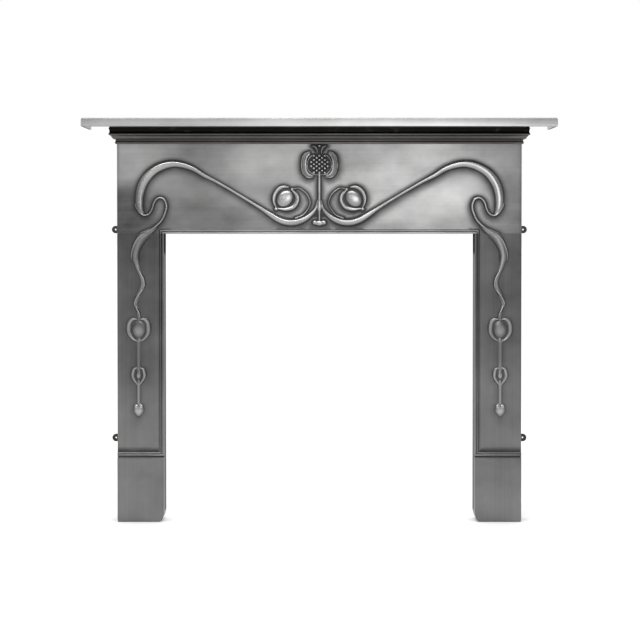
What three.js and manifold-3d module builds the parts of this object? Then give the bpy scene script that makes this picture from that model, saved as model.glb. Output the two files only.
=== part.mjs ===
// A cast iron fireplace surround: two leg castings, a frieze casting with its cornice, and a
// shelf, pulled together by bolts that are reached from the open back. Millimetres, +Z up,
// the front faces -Y. The origin is under the middle of the whole part, on the floor.
import * as THREE from "three";
import { mergeVertices } from "three/addons/utils/BufferGeometryUtils.js";
import Module from "manifold-3d";

const wasm = await Module();
wasm.setup();

// ---- Driving dimensions ----

// The fire opening and the faces round it
const OPENING_WIDTH = 914;
const OPENING_HEIGHT = 848;
const LEG_WIDTH = 137;
const FRIEZE_HEIGHT = 263;
const PLINTH_HEIGHT = 190;
const RETURN_DEPTH = 76; // from the wall to the front of the plinths

// Castings
const WALL = 7;
const FLANGE = 8;
const PANEL_SINK = 7; // how far the ornamented ground lies behind the plinth face
const RIB_THICKNESS = 6;
const RIB_DEPTH = 24;
const CORED_HOLE_WIDTH = 36; // in each leg's top flange, between its bolts
const CORED_HOLE_DEPTH = 40;
const TOE_WIDTH = 18; // the rounded inner bottom corner of each leg
const TOE_HEIGHT = 28;

// The moulding round the opening and along the top of each plinth
const PLINTH_GROOVE = 4.5;
const STRIP_WIDTH = 6;
const STRIP_HEIGHT = 5.5;
const BEAD_FOOT_WIDTH = 6;
const BEAD_FOOT_HEIGHT = 4.5;
const BEAD_STEP = 1; // the bead's round top is this much narrower on each side than its foot

// Cornice and shelf
const CORNICE_HEIGHT = 46;
const CORNICE_PROJECTION = 21;
const CORNICE_WALL = 7;
const SHELF_OVERHANG = 87; // in front of the plinth face
const SHELF_END_OVERHANG = 71; // past the cornice at each end
const SHELF_EDGE = 25.4;
const SHELF_PLATE = 7;
const SHELF_RIM = 8;
const SHELF_NOSE = 4; // radius of the shelf's outer edges
const SEAT_RIB = 8;
const SEAT_SETBACK = 2; // the seating rib stands this far inside the cornice's top edge

// Fixing lugs, cast on the outer returns against the wall
const LUG_HEIGHT = 22;
const LUG_REACH = 23;
const LUG_THICKNESS = 7;
const LUG_HOLE = 9;
const LOWER_LUG_LEVEL = 240;
const UPPER_LUG_CLEARANCE = 1; // between the upper lug's lower edge and the opening's head

// Fasteners
const LEG_BOLT = 10;
const LEG_BOLT_HEAD_ACROSS = 16;
const LEG_BOLT_HEAD_HEIGHT = 6.4;
const LEG_BOLT_SPACING = 64;
const LEG_NUT_HEIGHT = 8;
const LEG_BOLT_TAIL = 5; // shank past the nut
const SHELF_BOLT = 8;
const SHELF_BOLT_HEAD_ACROSS = 13;
const SHELF_BOLT_HEAD_HEIGHT = 5.3;
const SHELF_BOLT_INSET = 114; // from the frieze's end to the first bolt
const SHELF_BOLTS = 5;
const SHELF_BOSS = 24;
const SHELF_BOLT_BITE = 15; // shank inside its boss
const BOSS_HOLE_SPARE = 2;
const WASHER_THICKNESS = 2;
const WASHER_RATIO = 2; // outer diameter over the bolt's
const CLEARANCE_HOLE = 1; // how much wider a flange's hole or slot is than its bolt

const GAP = 0.3; // left between pieces that touch
const OVERCUT = 2; // how far a cutting solid runs past what it cuts
const ROOT = 1; // how far an added form is rooted in its casting

// Relief heights above the ground
const RELIEF_LOW = 3.5;
const RELIEF_HIGH = 6;
const CREST_SHARE = 0.5; // a ribbon's raised crest against its full width
const SINGLE_TIER_WIDTH = 10; // a ribbon narrower than this all along has no separate crest
const STEPS_PER_POINT = 1.3; // straight steps along a ribbon for each point it is drawn through

// ---- Places worked out from the driving dimensions ----

const halfOpening = OPENING_WIDTH / 2;
const halfWidth = halfOpening + LEG_WIDTH;
const legCentre = halfOpening + LEG_WIDTH / 2;
const depth = RETURN_DEPTH + SHELF_OVERHANG;
const wallY = depth / 2;
const faceY = wallY - RETURN_DEPTH;
const panelY = faceY + PANEL_SINK;
const headZ = OPENING_HEIGHT;
const legTop = headZ - GAP / 2;
const friezeBottom = headZ + GAP / 2;
const corniceZ = headZ + FRIEZE_HEIGHT;
const shelfZ = corniceZ + CORNICE_HEIGHT;
const friezeTop = shelfZ - GAP / 2;
const shelfBottom = shelfZ + GAP / 2;
const topZ = shelfZ + SHELF_EDGE;
const upperLugLevel = headZ + UPPER_LUG_CLEARANCE + LUG_HEIGHT / 2;
const mouldingZ = PLINTH_HEIGHT + PLINTH_GROOVE;
const mouldingWidth = STRIP_WIDTH + BEAD_FOOT_WIDTH;
const legPanel = headZ - mouldingZ;
const boltY = (panelY + WALL + RIB_DEPTH + wallY) / 2; // bolts stand between the ribs and the wall
const SIDES = { left: -1, right: 1 };

// ---- Solids ----

// A closed geometry as a solid that can be joined and cut.
function solidFrom(geometry) {
  const bare = geometry.index ? geometry.toNonIndexed() : geometry;
  bare.deleteAttribute("normal");
  bare.deleteAttribute("uv");
  const merged = mergeVertices(bare, 1e-3);
  return new wasm.Manifold(
    new wasm.Mesh({
      numProp: 3,
      vertProperties: merged.attributes.position.array,
      triVerts: new Uint32Array(merged.index.array),
    }),
  );
}

function geometryFrom(solid) {
  const mesh = solid.getMesh();
  const geometry = new THREE.BufferGeometry();
  geometry.setAttribute("position", new THREE.BufferAttribute(mesh.vertProperties, 3));
  geometry.setIndex(new THREE.BufferAttribute(mesh.triVerts, 1));
  geometry.computeVertexNormals();
  return geometry;
}

const joined = (solids) => solids.reduce((whole, solid) => whole.add(solid));

function extruded(outline, length) {
  const shape = new THREE.Shape(outline.map(([a, b]) => new THREE.Vector2(a, b)));
  return new THREE.ExtrudeGeometry(shape, { depth: length, bevelEnabled: false });
}

// An outline of [x, z] points, seen from the front, carried from one depth back to another.
function slab(outline, front, back) {
  const geometry = extruded(outline, back - front);
  return solidFrom(geometry.rotateX(Math.PI / 2).translate(0, back, 0));
}

// An outline of [y, z] points, seen from the end, carried along X.
function bar(outline, left, right) {
  const [x, y, z] = [0, 1, 2].map((axis) => new THREE.Vector3().setComponent(axis, 1));
  const geometry = extruded(outline, right - left);
  geometry.applyMatrix4(new THREE.Matrix4().makeBasis(y, z, x));
  return solidFrom(geometry.translate(left, 0, 0));
}

function block([x0, x1], [y0, y1], [z0, z1]) {
  const geometry = new THREE.BoxGeometry(Math.abs(x1 - x0), y1 - y0, z1 - z0);
  return solidFrom(geometry.translate((x0 + x1) / 2, (y0 + y1) / 2, (z0 + z1) / 2));
}

// An upright prism or cylinder, by the number of its sides.
function post(x, y, [z0, z1], diameter, sides = 12) {
  const geometry = new THREE.CylinderGeometry(diameter / 2, diameter / 2, z1 - z0, sides);
  return solidFrom(geometry.rotateX(Math.PI / 2).translate(x, y, (z0 + z1) / 2));
}

// A hexagon has its size across the flats.
const hexagon = (x, y, span, across) => post(x, y, span, across / Math.cos(Math.PI / 6), 6);

// ---- Mouldings ----

// What lies inside the opening's edge, or under the plinth's, when both are moved out by a margin.
function framed(margin) {
  const [x, head, foot] = [halfOpening + margin, headZ + margin, mouldingZ + margin];
  return [
    [-halfWidth, 0], [halfWidth, 0], [halfWidth, foot], [x, foot], [x, head],
    [-x, head], [-x, foot], [-halfWidth, foot],
  ];
}

// One step of the moulding, mitred round the opening's corners and along both plinths.
function mouldingStep(inner, outer, height) {
  const raised = slab(framed(outer), panelY - height, panelY + ROOT);
  return raised.subtract(slab(framed(inner), panelY - height - OVERCUT, panelY + OVERCUT));
}

const openingMoulding = joined([
  mouldingStep(0, STRIP_WIDTH, STRIP_HEIGHT),
  mouldingStep(STRIP_WIDTH - ROOT, mouldingWidth, BEAD_FOOT_HEIGHT),
  mouldingStep(STRIP_WIDTH + BEAD_STEP, mouldingWidth - BEAD_STEP, PANEL_SINK),
]);

// The cornice's outline as shares of its projection and its height, from the frieze up: a small
// fillet, a quirk, the ogee, the lip and the cove under the shelf.
function corniceOutline() {
  const ogee = new THREE.CubicBezierCurve(
    new THREE.Vector2(0.26, 0.29),
    new THREE.Vector2(0.62, 0.3),
    new THREE.Vector2(0.55, 0.5),
    new THREE.Vector2(0.95, 0.55),
  );
  return [
    [0, 0], [0.19, 0.03], [0.19, 0.13], [0.12, 0.16], [0.12, 0.27],
    ...ogee.getPoints(5).map((point) => point.toArray()),
    [1, 0.59], [1, 0.65], [0.9, 0.69], [0.9, 0.84], [1, 1],
  ];
}

// A body that is plain up to the cornice and then follows an outline of [projection, height]
// points outward, mitred at both ends and square at the back. x is the half length of its plain
// part, which runs between two depths.
function corniced(outline, x, [front, back], [bottom, base]) {
  const rise = outline.map(([out, up]) => [halfWidth + out, base + up]);
  const elevation = [[-x, bottom], [x, bottom], [x, rise[0][1]], ...rise];
  elevation.push(...rise.map(([a, z]) => [-a, z]).reverse(), [-x, rise[0][1]]);
  const top = rise.at(-1)[1];
  const section = [[back, top], [back, bottom], [front, bottom], [front, rise[0][1]]];
  section.push(...outline.map(([out, up]) => [faceY - out, base + up]));
  const reach = halfWidth + 2 * CORNICE_PROJECTION;
  return slab(tidied(elevation), faceY - 2 * CORNICE_PROJECTION, back).intersect(
    bar(tidied(section), -reach, reach),
  );
}

// An outline without the points that repeat the one before.
function tidied(outline) {
  return outline.filter(([a, b], index) => {
    const [c, d] = outline.at(index - 1);
    return Math.hypot(a - c, b - d) > 1e-6;
  });
}

// ---- Ornament ----

// Where the ornament is drawn from. Each place gives [x, z] for the right-hand half.
const fromHead = (x, rise) => [x, headZ + rise];
const fromCornice = (x, drop) => [x, corniceZ - drop];
const fromCorner = (x, rise) => [legCentre + x, headZ + rise];
// Down the leg, a drop is a percentage of the ornamented panel's height.
const downLeg = (x, percent) => [legCentre + x, headZ - (percent / 100) * legPanel];

const placed = (place, points) => points.map(([x, z, width]) => [...place(x, z), width]);

// The long ribbon: out of the central cups, along the frieze, round the corner scroll, and down
// to the first seed pod of the leg. Each point is [x, z, width].
const RIBBON = [
  ...placed(fromHead, [
    [4, 97, 6], [11, 74, 9], [26, 56, 13], [46, 42, 18], [70, 34, 20], [96, 34, 20],
    [120, 42, 19], [143, 56, 16], [172, 75, 10],
  ]),
  ...placed(fromCorner, [
    [-230, 149, 8], [-186, 172, 12], [-157, 190, 15], [-127, 201, 18], [-98, 205, 20],
    [-69, 200, 23], [-39, 185, 25], [-19, 165, 26], [-3, 136, 26], [3, 106, 23], [2, 80, 17],
    [-4, 65, 12], [-16, 57, 9], [-31, 61, 8], [-38, 80, 8], [-42, 99, 8], [-55, 105, 8],
    [-69, 99, 8], [-77, 80, 8], [-72, 56, 8], [-60, 36, 8], [-45, 21, 8], [-25, 9, 9],
  ]),
  ...placed(downLeg, [
    [-10, 0, 12], [2, 2.6, 18], [8, 6.2, 26], [8, 9.8, 23], [8, 12.9, 19], [0, 16.5, 16],
    [-6, 20.6, 15], [-4, 23.7, 15], [5, 26.4, 15], [13, 29.5, 15], [12, 32.7, 15],
    [6, 35.4, 12], [6, 38.1, 9],
  ]),
];

// The flower's stem, down to where the two cups meet.
const STEM = [
  [...fromCornice(0, 88), 7], [...fromHead(0, 97), 8], [...fromHead(0, 74), 15],
  [...fromHead(0, 50), 17],
];

// Narrower lines of the central spray
const FLOWER_RIM = placed(fromCornice, [
  [17, 36, 5], [26, 40, 5], [34, 51, 5], [36, 63, 5], [35, 73, 5], [27, 81, 5], [17, 85, 5],
  [1, 82, 5],
]);
const FLOWER_PETAL = placed(fromCornice, [
  [23, 28, 4], [38, 31, 7], [46, 42, 9], [50, 57, 9], [50, 72, 9], [47, 86, 9], [38, 96, 7],
  [21, 95, 4],
]);
const FLOWER_NECK = placed(fromCornice, [[18, 5, 4], [8, 11, 4], [6, 26, 4]]);
const POD_STEM = placed(fromHead, [
  [82, 131, 4], [61, 134, 4], [48, 127, 4], [35, 114, 4], [27, 92, 4], [33, 74, 4],
  [49, 55, 5], [70, 46, 6],
]);
const POD_OUTER_SEPAL = placed(fromHead, [
  [92, 136, 4], [111, 136, 7], [128, 122, 8], [134, 106, 7], [131, 90, 5], [126, 80, 4],
]);
const POD_INNER_SEPAL = placed(fromHead, [
  [76, 122, 4], [66, 109, 7], [67, 93, 8], [82, 77, 8], [102, 71, 7], [120, 74, 4],
]);

// Seeds of the flower, by [x, drop under the cornice]; those off the centre line are paired.
const SEEDS = [
  [0, 29], [6, 36], [13, 45], [0, 45], [21, 46], [19, 57], [7, 55], [12, 65], [0, 63],
  [22, 70], [5, 72], [14, 76],
];
const SEED_SIZE = 6.6;
const SMALL_BUD = [6, 4]; // facets around and from top to bottom
const BIG_BUD = [10, 6];

// Down each leg: two seed pods and a drop bud on one stem
const STEM_SHIFT = 6; // the stem hangs this far outward of the leg's centre line
const LEG_STEM_WIDTH = 8;
const LEG_PODS = [
  { percent: 43, width: 34, height: 52, reach: 31 },
  { percent: 63.5, width: 13, height: 31, reach: 20 },
];
const DROP_BUD = { percent: 79.3, width: 30, height: 38 };
// A sepal's points, as shares of its pod's reach and height, with the width there.
const SEPAL = [[0.2, 0.58, 5], [0.75, 0.48, 7], [1, 0.06, 8], [0.8, -0.38, 8], [0.3, -0.68, 7]];

// The frieze's side pods
const SIDE_POD = { place: [101, 103], width: 36, height: 46, lean: 0.47 };
const SIDE_POD_KNOTS = [{ place: [80, 130], size: 10 }, { place: [127, 73], size: 12 }];
const FLOWER_KNOB = { drop: 4, width: 9, height: 6 };
const BEAN = { rise: 32, width: 40, height: 20 };

// A line that swells and thins, as a closed outline: its edges lie half its width each side.
function ribbonOutline(points, share, side) {
  const line = new THREE.CatmullRomCurve3(
    points.map(([x, z, width]) => new THREE.Vector3(x, z, width)),
    false,
    "centripetal",
  );
  const edges = { near: [], far: [] };
  const steps = Math.ceil(STEPS_PER_POINT * points.length);
  for (let step = 0; step <= steps; step++) {
    const { x, y: z, z: width } = line.getPoint(step / steps);
    const along = line.getTangent(step / steps);
    const half = (width * share) / 2 / Math.hypot(along.x, along.y);
    edges.near.push([side * (x - along.y * half), z + along.x * half]);
    edges.far.push([side * (x + along.y * half), z - along.x * half]);
  }
  return [...edges.near, ...edges.far.reverse()];
}

// A raised ribbon. A broad one has a crest along its middle.
function ribbon(points, side) {
  const whole = slab(ribbonOutline(points, 1, side), panelY - RELIEF_LOW, panelY + ROOT);
  if (Math.max(...points.map((point) => point[2])) < SINGLE_TIER_WIDTH) return whole;
  const crest = slab(ribbonOutline(points, CREST_SHARE, side), panelY - RELIEF_HIGH, panelY + ROOT);
  return whole.add(crest);
}

// A rounded form of the given width and height, standing out of the ground.
function bud([x, z], width, height, out, turn = 0, [around, down] = BIG_BUD) {
  const geometry = new THREE.SphereGeometry(1, around, down);
  geometry.rotateX(Math.PI / 2).scale(width / 2, out, height / 2);
  geometry.rotateY(turn);
  return solidFrom(geometry.translate(x, panelY, z));
}

const mirrored = ([x, z], side) => [side * x, z];

// The spray in the middle of the frieze: flower, stem and cups, with a side pod to each side.
function centreSpray() {
  const forms = [
    ribbon(STEM, 1),
    bud(fromCornice(0, FLOWER_KNOB.drop), FLOWER_KNOB.width, FLOWER_KNOB.height, RELIEF_LOW),
    bud(fromHead(0, BEAN.rise), BEAN.width, BEAN.height, RELIEF_HIGH),
  ];
  for (const side of Object.values(SIDES)) {
    const lines = [FLOWER_RIM, FLOWER_PETAL, FLOWER_NECK, POD_STEM, POD_OUTER_SEPAL, POD_INNER_SEPAL];
    forms.push(...lines.map((line) => ribbon(line, side)));
    const { place, width, height, lean } = SIDE_POD;
    forms.push(bud(mirrored(fromHead(...place), side), width, height, RELIEF_HIGH, -side * lean));
    for (const knot of SIDE_POD_KNOTS) {
      const centre = mirrored(fromHead(...knot.place), side);
      forms.push(bud(centre, knot.size, knot.size, RELIEF_HIGH, 0, SMALL_BUD));
    }
  }
  for (const [x, drop] of SEEDS) {
    for (const side of x ? Object.values(SIDES) : [1]) {
      const centre = mirrored(fromCornice(x, drop), side);
      forms.push(bud(centre, SEED_SIZE, SEED_SIZE, RELIEF_LOW, 0, SMALL_BUD));
    }
  }
  return joined(forms);
}

// One sepal of a leg's pod, on its inner or outer side.
function legSepal({ percent, height, reach }, hand, side) {
  const [x, z] = downLeg(STEM_SHIFT, percent);
  return ribbon(
    SEPAL.map(([out, up, width]) => [x + hand * reach * out, z + height * up, width]),
    side,
  );
}

// What hangs on a leg under the ribbon.
function legDrop(side) {
  const forms = [];
  const stemEnd = downLeg(STEM_SHIFT, DROP_BUD.percent);
  const stemTop = downLeg(STEM_SHIFT, LEG_PODS[0].percent);
  forms.push(ribbon([[...stemTop, LEG_STEM_WIDTH], [...stemEnd, LEG_STEM_WIDTH]], side));
  for (const pod of LEG_PODS) {
    const centre = mirrored(downLeg(STEM_SHIFT, pod.percent), side);
    forms.push(bud(centre, pod.width, pod.height, RELIEF_HIGH));
    forms.push(legSepal(pod, 1, side), legSepal(pod, -1, side));
  }
  const { percent, width, height } = DROP_BUD;
  forms.push(bud(mirrored(downLeg(STEM_SHIFT, percent), side), width, height, RELIEF_HIGH));
  return joined(forms);
}

// ---- Castings ----

// A fixing lug on one outer return, with its screw hole.
function lug(side, level) {
  const radius = LUG_HEIGHT / 2;
  const eye = halfWidth + LUG_REACH - radius;
  const tip = new THREE.EllipseCurve(eye, level, radius, radius, -Math.PI / 2, Math.PI / 2);
  const outline = [
    [halfWidth - ROOT, level - radius],
    ...tip.getPoints(8).map((point) => point.toArray()),
    [halfWidth - ROOT, level + radius],
  ];
  return slab(outline.map(([x, z]) => [side * x, z]), wallY - LUG_THICKNESS, wallY);
}

function lugHole(side, level) {
  const x = side * (halfWidth + LUG_REACH - LUG_HEIGHT / 2);
  const hole = new THREE.CylinderGeometry(LUG_HOLE / 2, LUG_HOLE / 2, LUG_THICKNESS + 2 * OVERCUT, 12);
  return solidFrom(hole.translate(x, wallY - LUG_THICKNESS / 2, level));
}

const legBoltPlaces = (side) =>
  [-1, 1].map((hand) => side * legCentre + (hand * LEG_BOLT_SPACING) / 2);
const shelfBoltPitch = (2 * (halfWidth - SHELF_BOLT_INSET)) / (SHELF_BOLTS - 1);
const shelfBoltPlaces = Array.from(
  { length: SHELF_BOLTS },
  (_, index) => (index - (SHELF_BOLTS - 1) / 2) * shelfBoltPitch,
);

// A slot round a bolt's place, open at the back edge of its flange.
function boltSlot(x, [z0, z1], boltDiameter) {
  const width = boltDiameter + CLEARANCE_HOLE;
  const mouth = block([x - width / 2, x + width / 2], [boltY, wallY + OVERCUT], [z0, z1]);
  return post(x, boltY, [z0, z1], width).add(mouth);
}

// A leg's front outline, with its rounded toe, moved in by a margin on every edge.
function legOutline(side, margin, [bottom, top]) {
  const toe = new THREE.EllipseCurve(
    halfOpening + TOE_WIDTH,
    TOE_HEIGHT,
    TOE_WIDTH - margin,
    TOE_HEIGHT - bottom,
    Math.PI,
    1.5 * Math.PI,
  );
  const outer = halfWidth - margin;
  const outline = [
    [outer, bottom], [outer, top], [halfOpening + margin, top],
    ...toe.getPoints(5).map((point) => point.toArray()),
  ];
  return outline.map(([x, z]) => [side * x, z]);
}

// A leg: an open-backed channel with its plinth, top and foot flanges, ribs and lower lug.
function leg(side) {
  const inside = [side * (halfOpening + WALL - ROOT), side * (halfWidth - WALL + ROOT)];
  const whole = legOutline(side, 0, [0, legTop]);
  const plinth = block(
    [side * halfOpening, side * halfWidth],
    [faceY, panelY + ROOT],
    [0, PLINTH_HEIGHT],
  );
  let casting = slab(whole, panelY, wallY);
  casting = casting.add(slab(whole, faceY, panelY + ROOT).intersect(plinth));
  const hollow = legOutline(side, WALL, [FLANGE, legTop - FLANGE]);
  const plinthHollow = legOutline(side, WALL, [FLANGE, PLINTH_HEIGHT - WALL]);
  casting = casting.subtract(slab(hollow, panelY + WALL, wallY + OVERCUT));
  casting = casting.subtract(slab(plinthHollow, faceY + WALL, wallY + OVERCUT));
  for (const part of [1, 2]) {
    const level = mouldingZ + (legPanel * part) / 3;
    casting = casting.add(
      block(inside, [panelY + WALL - ROOT, panelY + WALL + RIB_DEPTH], [level, level + RIB_THICKNESS]),
    );
  }
  const band = [side * (halfOpening - OVERCUT), side * (halfWidth + OVERCUT)];
  const ownZone = block(band, [faceY - OVERCUT, wallY], [PLINTH_HEIGHT, legTop]);
  const relief = joined([openingMoulding, ribbon(RIBBON, side), legDrop(side)]);
  casting = casting.add(relief.intersect(ownZone)).add(lug(side, LOWER_LUG_LEVEL));
  casting = casting.subtract(lugHole(side, LOWER_LUG_LEVEL));
  const topFlange = [legTop - FLANGE - OVERCUT, legTop + OVERCUT];
  const middleY = (panelY + WALL + wallY) / 2;
  const coredHole = block(
    [side * legCentre - CORED_HOLE_WIDTH / 2, side * legCentre + CORED_HOLE_WIDTH / 2],
    [middleY - CORED_HOLE_DEPTH / 2, middleY + CORED_HOLE_DEPTH / 2],
    topFlange,
  );
  const holes = legBoltPlaces(side).map((x) => post(x, boltY, topFlange, LEG_BOLT + CLEARANCE_HOLE));
  return casting.subtract(joined([coredHole, ...holes]));
}

// The frieze: an open-backed box with the cornice along its top, its lower flange over the legs
// and the opening, and its upper flange under the shelf.
function frieze() {
  const outline = corniceOutline().map(([out, up]) => [
    out * CORNICE_PROJECTION,
    up * (friezeTop - corniceZ),
  ]);
  const chamber = [
    [-WALL, CORNICE_HEIGHT * 0.2],
    [CORNICE_PROJECTION - CORNICE_WALL, CORNICE_HEIGHT * 0.55],
    [CORNICE_PROJECTION - CORNICE_WALL, friezeTop - FLANGE - corniceZ],
  ];
  const hollowFloor = friezeBottom + FLANGE;
  const shell = corniced(outline, halfWidth, [panelY, wallY], [friezeBottom, corniceZ]);
  const inside = [panelY + WALL, wallY + OVERCUT];
  const hollow = corniced(chamber, halfWidth - WALL, inside, [hollowFloor, corniceZ]);
  let casting = shell.subtract(hollow).add(joined(friezeRibs()));
  const ownZone = block(
    [-halfWidth, halfWidth],
    [faceY - OVERCUT, wallY],
    [friezeBottom, corniceZ + ROOT],
  );
  const relief = joined([
    openingMoulding,
    centreSpray(),
    ...Object.values(SIDES).map((side) => ribbon(RIBBON, side)),
  ]);
  casting = casting.add(relief.intersect(ownZone));
  for (const side of Object.values(SIDES)) {
    casting = casting.add(lug(side, upperLugLevel)).subtract(lugHole(side, upperLugLevel));
    for (const x of legBoltPlaces(side)) {
      const span = [friezeBottom - OVERCUT, hollowFloor + OVERCUT];
      casting = casting.subtract(boltSlot(x, span, LEG_BOLT));
    }
  }
  for (const x of shelfBoltPlaces) {
    const span = [friezeTop - FLANGE - OVERCUT, friezeTop + OVERCUT];
    casting = casting.subtract(boltSlot(x, span, SHELF_BOLT));
  }
  return casting;
}

// Upright ribs behind the frieze's face, between the shelf bolts.
function friezeRibs() {
  const places = shelfBoltPlaces.slice(1).map((x) => x - shelfBoltPitch / 2);
  return places.map((x) =>
    block(
      [x - RIB_THICKNESS / 2, x + RIB_THICKNESS / 2],
      [panelY + WALL - ROOT, panelY + WALL + RIB_DEPTH],
      [friezeBottom + FLANGE - ROOT, corniceZ + ROOT],
    ),
  );
}

// A rectangle with rounded corners.
function roundedOutline([a0, a1], [b0, b1], radius) {
  const corners = [[a1, b0, -0.5], [a1, b1, 0], [a0, b1, 0.5], [a0, b0, 1]];
  return corners.flatMap(([a, b, start]) => {
    const centre = [a + (a === a1 ? -radius : radius), b + (b === b1 ? -radius : radius)];
    const turn = [start * Math.PI, (start + 0.5) * Math.PI];
    const arc = new THREE.EllipseCurve(...centre, radius, radius, ...turn);
    return arc.getPoints(3).map((point) => point.toArray());
  });
}

// The shelf: a plate whose front and ends turn down, open below and at the wall. A seating rib
// follows the cornice's top, and a boss stands over each bolt.
function shelf() {
  const half = halfWidth + CORNICE_PROJECTION + SHELF_END_OVERHANG;
  const plateBottom = topZ - SHELF_PLATE;
  const ends = roundedOutline([-half, half], [shelfBottom, topZ], SHELF_NOSE);
  const section = roundedOutline(
    [-wallY, wallY + SHELF_NOSE],
    [shelfBottom, topZ],
    SHELF_NOSE,
  );
  const behindWall = block([-half, half], [wallY, wallY + 2 * SHELF_NOSE], [shelfZ, topZ + OVERCUT]);
  const hollow = block(
    [-half + SHELF_RIM, half - SHELF_RIM],
    [-wallY + SHELF_RIM, wallY + OVERCUT],
    [shelfZ - OVERCUT, plateBottom],
  );
  let casting = slab(ends, -wallY, wallY + SHELF_NOSE).intersect(bar(section, -half, half));
  casting = casting.subtract(behindWall).subtract(hollow);
  const seatX = halfWidth + CORNICE_PROJECTION - SEAT_SETBACK;
  const seatY = faceY - CORNICE_PROJECTION + SEAT_SETBACK;
  const seat = block([-seatX, seatX], [seatY, wallY - ROOT], [shelfBottom, plateBottom + ROOT]);
  const insideSeat = block(
    [-seatX + SEAT_RIB, seatX - SEAT_RIB],
    [seatY + SEAT_RIB, wallY + OVERCUT],
    [shelfZ - OVERCUT, plateBottom + OVERCUT],
  );
  casting = casting.add(seat.subtract(insideSeat));
  const holeTop = shelfBottom + SHELF_BOLT_BITE + BOSS_HOLE_SPARE;
  for (const x of shelfBoltPlaces) {
    const hole = [shelfBottom - OVERCUT, holeTop];
    casting = casting.add(post(x, boltY, [shelfBottom, plateBottom + ROOT], SHELF_BOSS));
    casting = casting.subtract(post(x, boltY, hole, SHELF_BOLT + 2 * GAP));
  }
  return casting;
}

// ---- Fasteners ----

// A hexagon-headed bolt. Its head and shank each run between two heights and share one of them.
function bolt(x, head, shank, diameter, across) {
  return hexagon(x, boltY, head, across).add(post(x, boltY, shank, diameter));
}

function ring(x, [z0, z1], outer, boltDiameter, sides = 12) {
  const hole = post(x, boltY, [z0 - OVERCUT, z1 + OVERCUT], boltDiameter + 2 * GAP);
  const body = sides === 6 ? hexagon(x, boltY, [z0, z1], outer) : post(x, boltY, [z0, z1], outer);
  return body.subtract(hole);
}

// The bolts that hold the frieze down on one leg, with a washer under each head and each nut.
function legFasteners(name, side) {
  const flangeTop = friezeBottom + FLANGE;
  const flangeBottom = legTop - FLANGE;
  const upper = [flangeTop + GAP, flangeTop + GAP + WASHER_THICKNESS];
  const lower = [flangeBottom - GAP - WASHER_THICKNESS, flangeBottom - GAP];
  const nut = [lower[0] - GAP - LEG_NUT_HEIGHT, lower[0] - GAP];
  const head = [upper[1] + GAP, upper[1] + GAP + LEG_BOLT_HEAD_HEIGHT];
  const shank = [nut[0] - LEG_BOLT_TAIL, head[0] + ROOT];
  const washer = LEG_BOLT * WASHER_RATIO;
  return legBoltPlaces(side).flatMap((x, index) => {
    const place = `${name}_leg_${index === (side > 0 ? 0 : 1) ? "inner" : "outer"}`;
    return [
      [`${place}_bolt`, bolt(x, head, shank, LEG_BOLT, LEG_BOLT_HEAD_ACROSS)],
      [`${place}_head_washer`, ring(x, upper, washer, LEG_BOLT)],
      [`${place}_nut_washer`, ring(x, lower, washer, LEG_BOLT)],
      [`${place}_nut`, ring(x, nut, LEG_BOLT_HEAD_ACROSS, LEG_BOLT, 6)],
    ];
  });
}

// The bolts that hold the shelf down on the frieze, driven from below.
function shelfFasteners() {
  const flangeBottom = friezeTop - FLANGE;
  const washer = [flangeBottom - GAP - WASHER_THICKNESS, flangeBottom - GAP];
  const head = [washer[0] - GAP - SHELF_BOLT_HEAD_HEIGHT, washer[0] - GAP];
  const shank = [head[1] - ROOT, shelfBottom + SHELF_BOLT_BITE];
  return shelfBoltPlaces.flatMap((x, index) => [
    [`shelf_bolt_${index + 1}`, bolt(x, head, shank, SHELF_BOLT, SHELF_BOLT_HEAD_ACROSS)],
    [`shelf_bolt_washer_${index + 1}`, ring(x, washer, SHELF_BOLT * WASHER_RATIO, SHELF_BOLT)],
  ]);
}

// ---- The assembly ----

const FINISHES = {
  polished: { color: 0x6f6f6f, roughness: 0.38, metalness: 0.9 },
  shelf: { color: 0xa4a6a8, roughness: 0.34, metalness: 0.95 },
  fastener: { color: 0x2b2a29, roughness: 0.6, metalness: 0.7 },
};

function piece(name, solid, finish) {
  const mesh = new THREE.Mesh(geometryFrom(solid), new THREE.MeshStandardMaterial(finish));
  mesh.name = name;
  return mesh;
}

const surround = new THREE.Group();
surround.add(piece("frieze", frieze(), FINISHES.polished));
surround.add(piece("shelf", shelf(), FINISHES.shelf));
for (const [name, side] of Object.entries(SIDES)) {
  surround.add(piece(`${name}_leg`, leg(side), FINISHES.polished));
  for (const [fastener, solid] of legFasteners(name, side)) {
    surround.add(piece(fastener, solid, FINISHES.fastener));
  }
}
for (const [fastener, solid] of shelfFasteners()) {
  surround.add(piece(fastener, solid, FINISHES.fastener));
}

export default surround;
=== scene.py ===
"""A cast iron fireplace surround: its looks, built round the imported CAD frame.

Two leg castings carry a frieze casting with its cornice, and a shelf lies on top. The faces
are polished bare iron with a running ribbon, seed pods and a centre flower cast in relief.
Pieces are drawn in millimetres. Finishes, lights and the camera are given in metres.
"""

import logging
import math
from collections.abc import Callable, Sequence
from dataclasses import dataclass, field, replace
from enum import Enum
from typing import Any

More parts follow.
